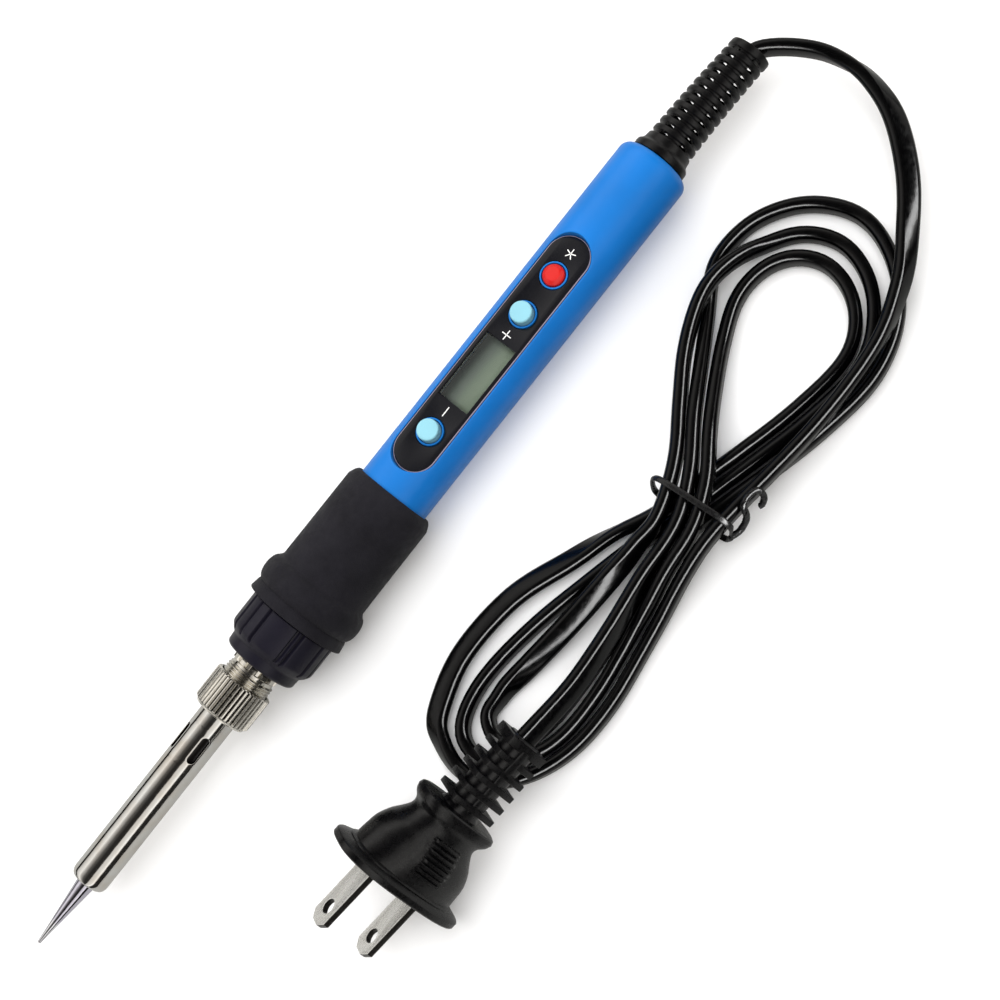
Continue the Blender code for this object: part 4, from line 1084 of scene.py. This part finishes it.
def lower_loop(nest, first, last):
    """One turn of the lobe nearest the tip, from its right side at the waist round the bottom
    to its left side at the waist. nest is 0 for the outer turn and 1 for the middle one."""
    inset, squeeze = 3.65 * nest, 8.0 * nest
    roll = 75 if nest == 0 else 0
    return first + [
        (-36.0, 61.1 - inset, LOW, 0),
        (-22.0, 63.0 - inset, LOW, 0),
        (-10.0, 62.3 - 0.93 * inset, LOW, 0),
        (-0.5 - 0.5 * inset, 58.6 - 0.86 * inset, LOW, 0),
        (5.6 - 0.86 * inset, 53.4 - 0.57 * inset, LOW, 0),
        (7.8 - 1.15 * inset, 46.8, LOW, roll / 4),
        (6.0 - 1.1 * inset, 39.9 + 0.55 * inset, LOW, roll / 2),
        (-0.4 - 1.0 * inset, 34.0 + 0.63 * squeeze, LOW, roll),
        (-10.0 - 0.6 * inset, 31.2 + 0.88 * squeeze, LOW, roll),
        (-26.0, 31.8 + squeeze, LOW, roll),
    ] + last


def upper_loop(turns, first, last):
    """One turn of the lobe nearest the boot, from its right side round the top to its left
    side. turns names how far out it lies: 0 is the inner turn and 2 the outer one."""
    step = (0.0, 4.8, 11.0)[turns]
    return first + [
        (-110.0, 56.4 + 3.6 * turns, LOW, 0),
        (-117.0 - 0.45 * step, 53.2 + 0.62 * step, LOW, 0),
        (-121.8 - 0.88 * step, 47.4 + 0.40 * step, LOW, 0),
        (-123.4 - 1.14 * step, 40.4, LOW, 0),
        (-120.8 - 1.02 * step, 34.2 - 0.42 * step, LOW, 0),
        (-115.0 - 0.85 * step, 30.4 - 0.65 * step, LOW, 0),
    ] + last


def waist(y, layer, slope):
    """Two points that carry a strand across the tied waist at y, rising by slope."""
    return [(WAIST_X + dx, y + slope * dx, layer + WAIST_LIFT, 0) for dx in (-5.0, 5.0)]


def outer_turns():
    """The outer and middle turns of the bottom lobe, and the inner and middle of the top one."""
    falling = [(-52.0, 59.1, 7.0, 0), (-45.0, 59.9, 4.2, 0)]
    path = lower_loop(0, falling, [(-41.0, 37.0, LOW, 60), (-52.0, 41.4, LOW + 0.4, 15)])
    path += waist(47.4, LOW, LOW_SLOPE)[::-1]
    right = [(-80.0, 51.2, LOW + 0.4, 0), (-95.0, 54.9, LOW, 0)]
    left = [(-107.0, 29.8, LOW, 0), (-98.0, 33.4, 3.6, 0)]
    left += [(-89.0, 38.6, 6.0, 0), (-79.6, 44.8, 8.7, 0)]
    path += upper_loop(0, right, left)
    path += waist(53.0, HIGH, 0.40)
    falling = [(-52.0, 55.7, 8.7, 0), (-44.0, 56.8, 6.2, 0)]
    path += lower_loop(1, falling, [(-40.0, 43.0, LOW, 0), (-52.0, 46.2, LOW + 0.4, 0)])
    path += waist(51.1, LOW, LOW_SLOPE)[::-1]
    right = [(-80.0, 54.9, LOW + 0.4, 0), (-95.0, 58.5, LOW, 0)]
    left = [(-113.0, 25.2, 6.0, 0), (-104.0, 24.6, HIGH + 0.3, 0)]
    left += [(-92.0, 28.8, 8.7, 0), (-80.4, 36.3, 9.1, 0)]
    path += upper_loop(1, right, left)
    return path + waist(44.9, HIGH, 0.42)


def last_turns():
    """The inner turn of the bottom lobe, which comes from the left and turns its broad face
    up, the outer turn of the top lobe, and the run down the middle to the plug."""
    path = [(-52.0, 47.6, 9.0, 25), (-42.0, 47.0, 7.2, 60), (-30.0, 45.7, 4.6, 70)]
    path += [(-19.0, 44.2, LOW, 60), (-9.5, 43.4, LOW, 20)]
    elbow = [(-3.4, 45.0), (-1.6, 49.2), (-5.0, 53.3), (-12.0, 55.2), (-22.0, 55.3), (-36.0, 54.2)]
    path += [(x, y, LOW, 0) for x, y in elbow]
    path.append((-50.0, 53.0, LOW + 0.3, 0))
    path += waist(54.8, LOW, LOW_SLOPE)[::-1]
    right = [(-80.0, 58.6, LOW + 0.4, 0), (-95.0, 62.1, LOW, 0)]
    left = [(-118.0, 21.2, LOW, 0), (-109.5, 21.4, LOW, 0), (-101.0, 26.6, LOW + 0.4, 0)]
    left += [(-90.5, 33.6, 6.6, 0), (-80.0, 40.4, 9.1, 0)]
    path += upper_loop(2, right, left)
    path += waist(49.1, HIGH, 0.46)
    return path + [(-48.0, 52.7, 9.2, 10), (-34.0, 54.8, 9.4, 30), (-20.0, 56.4, 12.0, 43)]


def between(t, low_knot, high_knot, a, b):
    share = (t - low_knot) / (high_knot - low_knot)
    return a * (1 - share) + b * share


def catmull_rom(t, knots, points):
    """Three rounds of blending between neighbours, over one, two and one spans of knots."""
    legs = [between(t, *knots[i : i + 2], *points[i : i + 2]) for i in range(3)]
    arcs = [between(t, knots[i], knots[i + 2], *legs[i : i + 2]) for i in range(2)]
    return between(t, knots[1], knots[2], *arcs)


def neighbours(points):
    """Each span of the points with the points round it, carried on straight at both ends."""
    longer = [2 * points[0] - points[1]] + points + [2 * points[-1] - points[-2]]
    return zip(longer, longer[1:], longer[2:], longer[3:])


def smooth_path(points, spacing):
    """A centripetal Catmull-Rom curve through the points, cut into even steps."""
    fine = []
    for a, b, c, d in neighbours(points):
        knots = [0.0]
        for p, q in ((a, b), (b, c), (c, d)):
            knots.append(knots[-1] + max((q - p).length, 1e-6) ** 0.5)
        fine += [catmull_rom(t, knots, (a, b, c, d)) for t in spread(knots[1], knots[2], 40)[:-1]]
    fine.append(points[-1])
    kept, travelled = [fine[0]], 0.0
    for before, here in zip(fine, fine[1:]):
        travelled += (here - before).length
        if travelled >= spacing:
            kept.append(here)
            travelled = 0.0
    kept[-1] = fine[-1]
    return relaxed(kept, 4)


def relaxed(points, rounds):
    """The points with small kinks eased out, ends kept."""
    for _ in range(rounds):
        inner = [(a + 2 * b + c) / 4 for a, b, c in zip(points, points[1:], points[2:])]
        points = [points[0]] + inner + [points[-1]]
    return points


def flat_cord_section():
    """The flat cord's outline: two round edges joined by broad faces with a slight dip."""
    outline = []
    count, dip, dip_half = 28, 0.10, 1.3
    for i in range(count):
        along, y = polar(CORE_R, 360 * i / count)
        y += math.copysign(CORE_SHIFT, y) if abs(y) > 1e-6 else 0.0
        sunk = dip * max(0.0, 1 - abs(y) / dip_half)
        outline.append((math.copysign(sunk, along) - along, y))
    return outline


def build_cord():
    """The flat two-core flex, from the clamp in the handle to the inside of the plug."""
    spacing = 1.4
    waypoints = lead_in() + waist(58.9, HIGH, -0.06) + outer_turns() + last_turns()
    for depth in (RELIEF_END - 4, RELIEF_END + 3, -26.0, -13.0):
        waypoints.append((*on_plug(depth, 0, 0), 90 + PLUG_ROLL))
    path = smooth_path([Vector(p) for p in waypoints], spacing)
    section = bpy.data.curves.new("cord_section", "CURVE")
    section.dimensions = "2D"
    add_loop(section, flat_cord_section())
    guide = bpy.data.objects.new("cord_section", section)
    curve = bpy.data.curves.new("cord_sheath", "CURVE")
    curve.dimensions = "3D"
    curve.twist_mode = "Z_UP"
    curve.bevel_mode = "OBJECT"
    curve.bevel_object = guide
    curve.use_fill_caps = True
    spline = curve.splines.new("POLY")
    spline.points.add(len(path) - 1)
    for point, place in zip(spline.points, path):
        resting = CORE_R + CORE_SHIFT * abs(math.cos(math.radians(place.w)))
        point.co = (place.x * MM, place.y * MM, max(place.z, resting) * MM, 1)
        point.tilt = math.radians(place.w)
    mesh = curve_mesh(curve, guide)
    piece("cord_sheath", mesh, CORD_VINYL, "pvc_black", "handle", ["cord"], 60)


def heading(path, i):
    return path[min(i + 1, len(path) - 1)] - path[max(i - 1, 0)]


def swept(path, sides, section):
    """A closed bar with the section's outline carried along path. sides gives, for each point,
    the direction of the section's first coordinate."""
    rings = []
    for i, (here, side) in enumerate(zip(path, sides)):
        ahead = heading(path, i)
        side = (side - ahead * side.dot(ahead) / ahead.length_squared).normalized()
        up = ahead.normalized().cross(side)
        rings.append([tuple(here + side * a + up * b) for a, b in section])
    shape = Shape()
    shape.bar(rings)
    return shape


def tie_section(half_width, half_thick, count=14):
    """A flat coated strip with the round bulge of the wire in its middle."""
    outline = []
    for i in range(count):
        across, up = polar(1.0, 360 * i / count)
        bulge = 1.0 if abs(half_width * across) < 0.3 else 0.72
        outline.append((half_width * across, half_thick * up * bulge))
    return outline


def signed_power(value, power):
    return math.copysign(abs(value) ** power, value)


def tie_loop():
    """The strap round the waist, whose lower run lies nearer the tip, and its side directions."""
    centre = Vector((WAIST_X, 51.6, 6.75))
    half_y, half_z, offset, slant = 10.1, 6.15, 1.1, -0.07
    loop = []
    for degrees in spread(16, 324, 72):
        cosine, sine = polar(1.0, degrees)
        y, z = half_y * signed_power(cosine, 0.5), half_z * signed_power(sine, 0.5)
        loop.append(centre + Vector((slant * y + offset * (1 - z / half_z), y, z)))
    return loop, [Vector((1.0, slant, 0.0))] * len(loop)


def tie_tail():
    """The middle line of the twisted tail: out beside the waist, then up over a strand."""
    places = [(-64.9, 61.2, 6.4), (-66.7, 62.2, 7.2), (-68.6, 62.4, 8.5), (-70.2, 62.2, 10.9)]
    places += [(-71.2, 60.8, 13.0), (-73.4, 60.3, 13.1), (-75.6, 61.0, 12.7), (-75.3, 62.7, 10.9)]
    places.append((-73.7, 62.9, 9.2))
    return [p.xyz for p in smooth_path([Vector((*place, 0)) for place in places], 0.3)]


def build_tie():
    """The black twist tie: a flat strip round the waist, its ends twisted together."""
    loop, sides = tie_loop()
    line = tie_tail()
    twist, swing = 1500.0, 0.45
    ends = []
    for turn in (0, 180):
        strand, strand_sides = [], []
        for i, here in enumerate(line):
            ahead = heading(line, i).normalized()
            side = ahead.cross(Vector((0.3, 0.2, 1.0))).normalized()
            up = ahead.cross(side)
            angle = math.radians(90 + turn + twist * i / len(line))
            strand.append(here + (side * math.cos(angle) + up * math.sin(angle)) * swing)
            strand_sides.append(up * math.cos(angle) - side * math.sin(angle))
        ends.append((strand, strand_sides))
    first, second = ends
    path = first[0][::-1] + loop + second[0]
    side = first[1][::-1] + sides + second[1]
    for i in range(1, len(side)):
        if side[i].dot(side[i - 1]) < 0:
            side[i] = -side[i]
    side = relaxed(side, 3)
    shape = swept(relaxed(path, 2), side, tie_section(0.68, 0.36))
    piece("tie_twisted", mesh_from(shape), TIE_VINYL, "pvc_black", "handle", ["twist_tie"], 60)


# Plug
def plug_matrix():
    """The plug's frame from its mount: +X out of the flange face, Y across both blades."""
    mount = next(m for m in frame["record"]["mounts"] if m["name"] == "plug_face")
    out = Vector(mount["axis"]).normalized()
    yaw = math.atan2(out.y, out.x)
    turn = Matrix.Rotation(yaw, 4, "Z") @ Matrix.Rotation(math.radians(PLUG_ROLL), 4, "X")
    return Matrix.Translation(Vector(mount["pos_m"])) @ turn


PLUG = plug_matrix()


def on_plug(x, y, z):
    return tuple((PLUG @ (Vector((x, y, z)) * MM)) / MM)


def superellipse(half_y, half_z, power, count):
    points = []
    for i in range(count):
        y, z = polar(1.0, 360 * i / count)
        points.append((half_y * signed_power(y, 2 / power), half_z * signed_power(z, 2 / power)))
    return points


def plug_stations():
    """Sections (x, half width, half height, power) of the flange and the finger-shaped body."""
    rim = [
        (0.0, 16.2, 8.4, 2.7), (-0.12, 16.5, 8.7, 2.7), (-0.4, 16.7, 8.9, 2.7), (-1.5, 16.7, 8.9, 2.7),
        (-1.75, 16.45, 8.7, 2.7), (-2.5, 14.1, 7.75, 2.5), (-2.7, 14.0, 7.85, 2.45),
        (-2.95, 13.5, 7.65, 2.4),
    ]
    middles = [
        (-3.1, 13.1, 7.5, 2.35), (-5.6, 12.8, 7.9, 2.3), (-8.2, 12.4, 8.0, 2.25),
        (-10.8, 11.1, 7.5, 2.25), (-12.8, 9.6, 6.6, 2.25), (-14.6, 8.5, 5.9, 2.3),
        (-16.0, 8.5, 5.9, 2.5), (-17.3, 9.5, 6.3, 2.8), (-18.2, 9.8, 6.4, 3.0),
    ]
    body = []
    for a, b, c, d in neighbours([Vector(section) for section in middles]):
        count = max(4, int(abs(b.x - c.x) / 0.1))
        body += [tuple(catmull_rom(1 + k / count, (0, 1, 2, 3), (a, b, c, d))) for k in range(count)]
    tail = [
        (-18.5, 9.8, 6.4, 3.2), (-19.3, 9.55, 6.2, 3.2), (-19.6, 9.1, 5.9, 3.0),
        (-19.7, 4.6, 3.8, 2.6), (-20.6, 4.0, 3.4, 2.6), (RELIEF_END + 0.3, 3.7, 3.2, 2.6),
        (RELIEF_END, 3.4, 2.9, 2.6),
    ]
    return rim + body + tail


def finger_ridges(x, y, z):
    """The height of the finger grip's ridges over a point of the body's broad faces."""
    front, rear, ridges, half_width, height = -5.6, -14.0, 8, 3.8, 0.5
    if not rear < x < front or abs(z) < 4.0:
        return 0.0
    phase = (x - rear) / (front - rear) * ridges % 1.0
    ridge = max(0.0, min(1.0, 2.6 * (1 - abs(phase - 0.5) * 2.6)))
    side = max(0.0, min(1.0, (half_width - abs(y)) / 0.35))
    return height * ridge * side


def build_plug():
    """The moulded plug: a thin flange, a waisted body with finger ridges, a bevelled shoulder
    and a relief of squared ribs on a spine."""
    count, ribs, first_rib, pitch, rib_width, rib_height = 144, 6, -22.0, 3.1, 11.4, 8.1
    spine, spine_x, spine_z = (16.6, 1.8, 1.0), -29.2, 3.25
    rings = []
    for x, half_y, half_z, power in plug_stations():
        ring = []
        for y, z in superellipse(half_y, half_z, power, count):
            ring.append(on_plug(x, y, z + math.copysign(finger_ridges(x, y, z), z)))
        rings.append(ring)
    shape = Shape()
    shape.bar(rings)
    mesh = mesh_from(shape)
    for rib in range(ribs):
        depth, shift = (2.2, 0.3) if rib == ribs - 1 else (1.4, 0.0)
        place = PLUG @ at(first_rib - pitch * rib - shift, 0, 0)
        size = (depth, rib_width - 0.3 * rib, rib_height - 0.2 * rib)
        mesh = cut(mesh, block(size, place, 0.18), "UNION")
    for side in (-1, 1):
        mesh = cut(mesh, block(spine, PLUG @ at(spine_x, 0, side * spine_z), 0.2), "UNION")
    slot = (24.0, BLADE_THICK + GAP, BLADE_WIDTH + GAP)
    for side in (-1, 1):
        mesh = cut(mesh, block(slot, PLUG @ at(2.0, side * BLADE_SPACING / 2, 0)))
    piece("plug_moulding", mesh, PLUG_VINYL, "pvc_black", "handle", ["plug_body"], 30)


def build_blades():
    """The two blades: rounded edges, clipped corners and a hole near the end."""
    buried, corner, hole_r, hole_back = 9.5, 1.5, 1.6, 4.2
    half, end = BLADE_WIDTH / 2, BLADE_LENGTH
    side_run = [(-buried, half), (end - corner, half), (end - 0.25, half - corner)]
    side_run.append((end, half - corner - 0.4))
    outline = [(x, -y) for x, y in side_run] + side_run[::-1]
    stand = Matrix.Rotation(math.radians(90), 4, "X")
    faces = tuple(PLUG.col[1].xyz)
    pale, tint, lines = (0.92, 0.915, 0.90), (0.90, 0.895, 0.875), (0.4, 4.0, 4.0)
    # The blades' side faces get painted shade
    nickel = metal("blade_nickel", pale, 0.24, lines, 0.001, tint, shaded_sides=faces)
    for name, side in (("left", -1), ("right", 1)):
        place = PLUG @ at(0, side * BLADE_SPACING / 2, 0) @ stand
        outlines = [outline, circle(end - hole_back, hole_r, 40)]
        mesh = plate_mesh(outlines, BLADE_THICK, 0.16, place)
        piece("blade_plate_" + name, mesh, nickel, "nickel", "handle", ["blade_" + name])


# The rest of the frame
def dress_frame():
    """Gives each CAD node that still shows the material of its slot."""
    by_slot = {"part_black": PART_BLACK, "film_yellow": FILM_YELLOW, "board_green": BOARD}
    by_slot.update({"ceramic": CERAMIC, "pvc_black": BOOT_VINYL, "nickel": NICKEL, **WIRES})
    slots = {row["node"]: row["material_slot"] for row in frame["record"]["subparts"]}
    for name, obj in frame["nodes"].items():
        if obj.hide_render:
            continue
        for holder in obj.material_slots:
            holder.material = by_slot[slots[name]]


# Floor, light and camera
def build_floor():
    """The pale bench top, which looks greyer where it is seen reflected in the iron."""
    half = 3.0
    mesh = bpy.data.meshes.new("floor")
    corners = [(-half, -half, 0), (half, -half, 0), (half, half, 0), (-half, half, 0)]
    mesh.from_pydata(corners, [], [(0, 1, 2, 3)])
    look = Look("pale_floor", Roughness=0.85)
    tone = look.ramp(look.noise(0.003), (0.3, (0.955, 0.955, 0.957)), (0.7, (0.97, 0.97, 0.97)))
    mirrored = look.node("LightPath").outputs["Is Glossy Ray"]
    mesh.materials.append(look.finish(look.mix(mirrored, tone, (0.42, 0.42, 0.41, 1))))
    show(bpy.data.objects.new("floor", mesh))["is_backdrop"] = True


def area_light(name, place, size, power):
    """A lamp that faces the middle of the object."""
    target = Vector((-0.03, 0.03, 0.0))
    data = bpy.data.lights.new(name, "AREA")
    data.shape = "RECTANGLE"
    data.size, data.size_y = size
    data.energy = power
    lamp = show(bpy.data.objects.new(name, data))
    lamp.location = place
    lamp.rotation_euler = (target - Vector(place)).to_track_quat("-Z", "Y").to_euler()
    return lamp


def build_lights():
    """Two soft lamps that light surfaces and stay out of reflections, and a strip that is seen
    only as the highlight along the cord and the tie."""
    area_light("overhead", (-0.05, 0.0, 0.9), (0.9, 0.9), 10.0).visible_glossy = False
    area_light("side", (-0.5, -0.7, 0.55), (0.8, 0.8), 3.5).visible_glossy = False
    strip = area_light("strip", (-0.05, 0.45, 0.45), (1.6, 0.22), 22.0)
    strip.visible_diffuse = False
    shiny = bpy.data.collections.new("shiny_black")
    for name in ("cord_sheath", "tie_twisted"):
        shiny.objects.link(bpy.data.objects[name])
    strip.light_linking.receiver_collection = shiny


def build_room():
    """The room that reflections see: long bright and dark strips beside the iron. The camera
    sees a plain pale backdrop behind the bench."""
    world = bpy.data.worlds.new("studio")
    bpy.context.scene.world = world
    world.use_nodes = True
    nodes = Nodes(world.node_tree)
    _, y, z = nodes.parts(nodes.node("TexCoord").outputs["Generated"])
    around = nodes.maths("MULTIPLY_ADD", nodes.maths("ARCTAN2", y, z), 0.5 / math.pi, 0.5)
    tallest = 2.0
    strips = (
        (-180, 0.6), (-95, 0.01), (-77, 0.02), (-73, 0.60), (-66, 0.85), (-42, 1.25), (-33, 0.72),
        (-13, 0.14), (5, 0.03), (25, 0.03), (29, 0.90), (44, 1.0), (59, 1.5), (63, 0.03), (93, 0.02),
        (180, 0.6),
    )
    curve = nodes.node("FloatCurve", {1: around})
    shape = curve.mapping.curves[0]
    while len(shape.points) < len(strips):
        shape.points.new(0.5, 0.5)
    for point, (degrees, value) in zip(shape.points, strips):
        point.location = (degrees / 360 + 0.5, value / tallest)
        point.handle_type = "VECTOR"
    curve.mapping.update()
    light = curve.outputs[0]
    warm = nodes.mix(light, (1, 0.95, 0.9, 1), (1, 0.99, 0.96, 1))
    strength = nodes.maths("MULTIPLY", light, tallest)
    room = nodes.node("Background", {"Color": warm, "Strength": strength})
    plain = nodes.node("Background", {"Color": (1.0, 0.995, 0.98, 1), "Strength": 0.8})
    seen = nodes.node("LightPath").outputs["Is Camera Ray"]
    nodes.mixed_shader(seen, room, plain, "World Output")


def build_camera():
    """Above the bench, leaning towards +Y, turned so that the tip points down and left."""
    distance, turned_by, target = 0.365, 51.6, Vector((-41.7, 17.5, 6.31)) * MM
    cosine, sine = polar(1.0, VIEW_TILT)
    back, across, along = Vector((0, sine, cosine)), Vector((0, cosine, -sine)), Vector((-1, 0, 0))
    cosine, sine = polar(1.0, turned_by)
    right = (along * cosine + across * sine).normalized()
    up = (along * sine - across * cosine).normalized()
    data = bpy.data.cameras.new("camera")
    data.sensor_width = 36.0
    data.lens = 61.76
    data.clip_start = 0.01
    camera = show(bpy.data.objects.new("camera", data))
    turn = Matrix((right, up, back)).transposed().to_4x4()
    camera.matrix_world = Matrix.Translation(target + back * distance) @ turn
    bpy.context.scene.camera = camera


def write_sizes():
    boxes = {"cad": CAD_BOUNDS, "visual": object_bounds()}
    plain = {name: [list(corner) for corner in box] for name, box in boxes.items()}


build_tip()
build_barrel()
build_nut()
build_insert()
build_nose()
build_heater()
build_grip()
build_handle()
build_panel()
build_signs()
build_buttons()
build_boot()
build_cord()
build_tie()
build_plug()
build_blades()
dress_frame()
build_floor()
build_lights()
build_room()
build_camera()
bpy.context.scene.view_settings.view_transform = "Standard"
write_sizes()
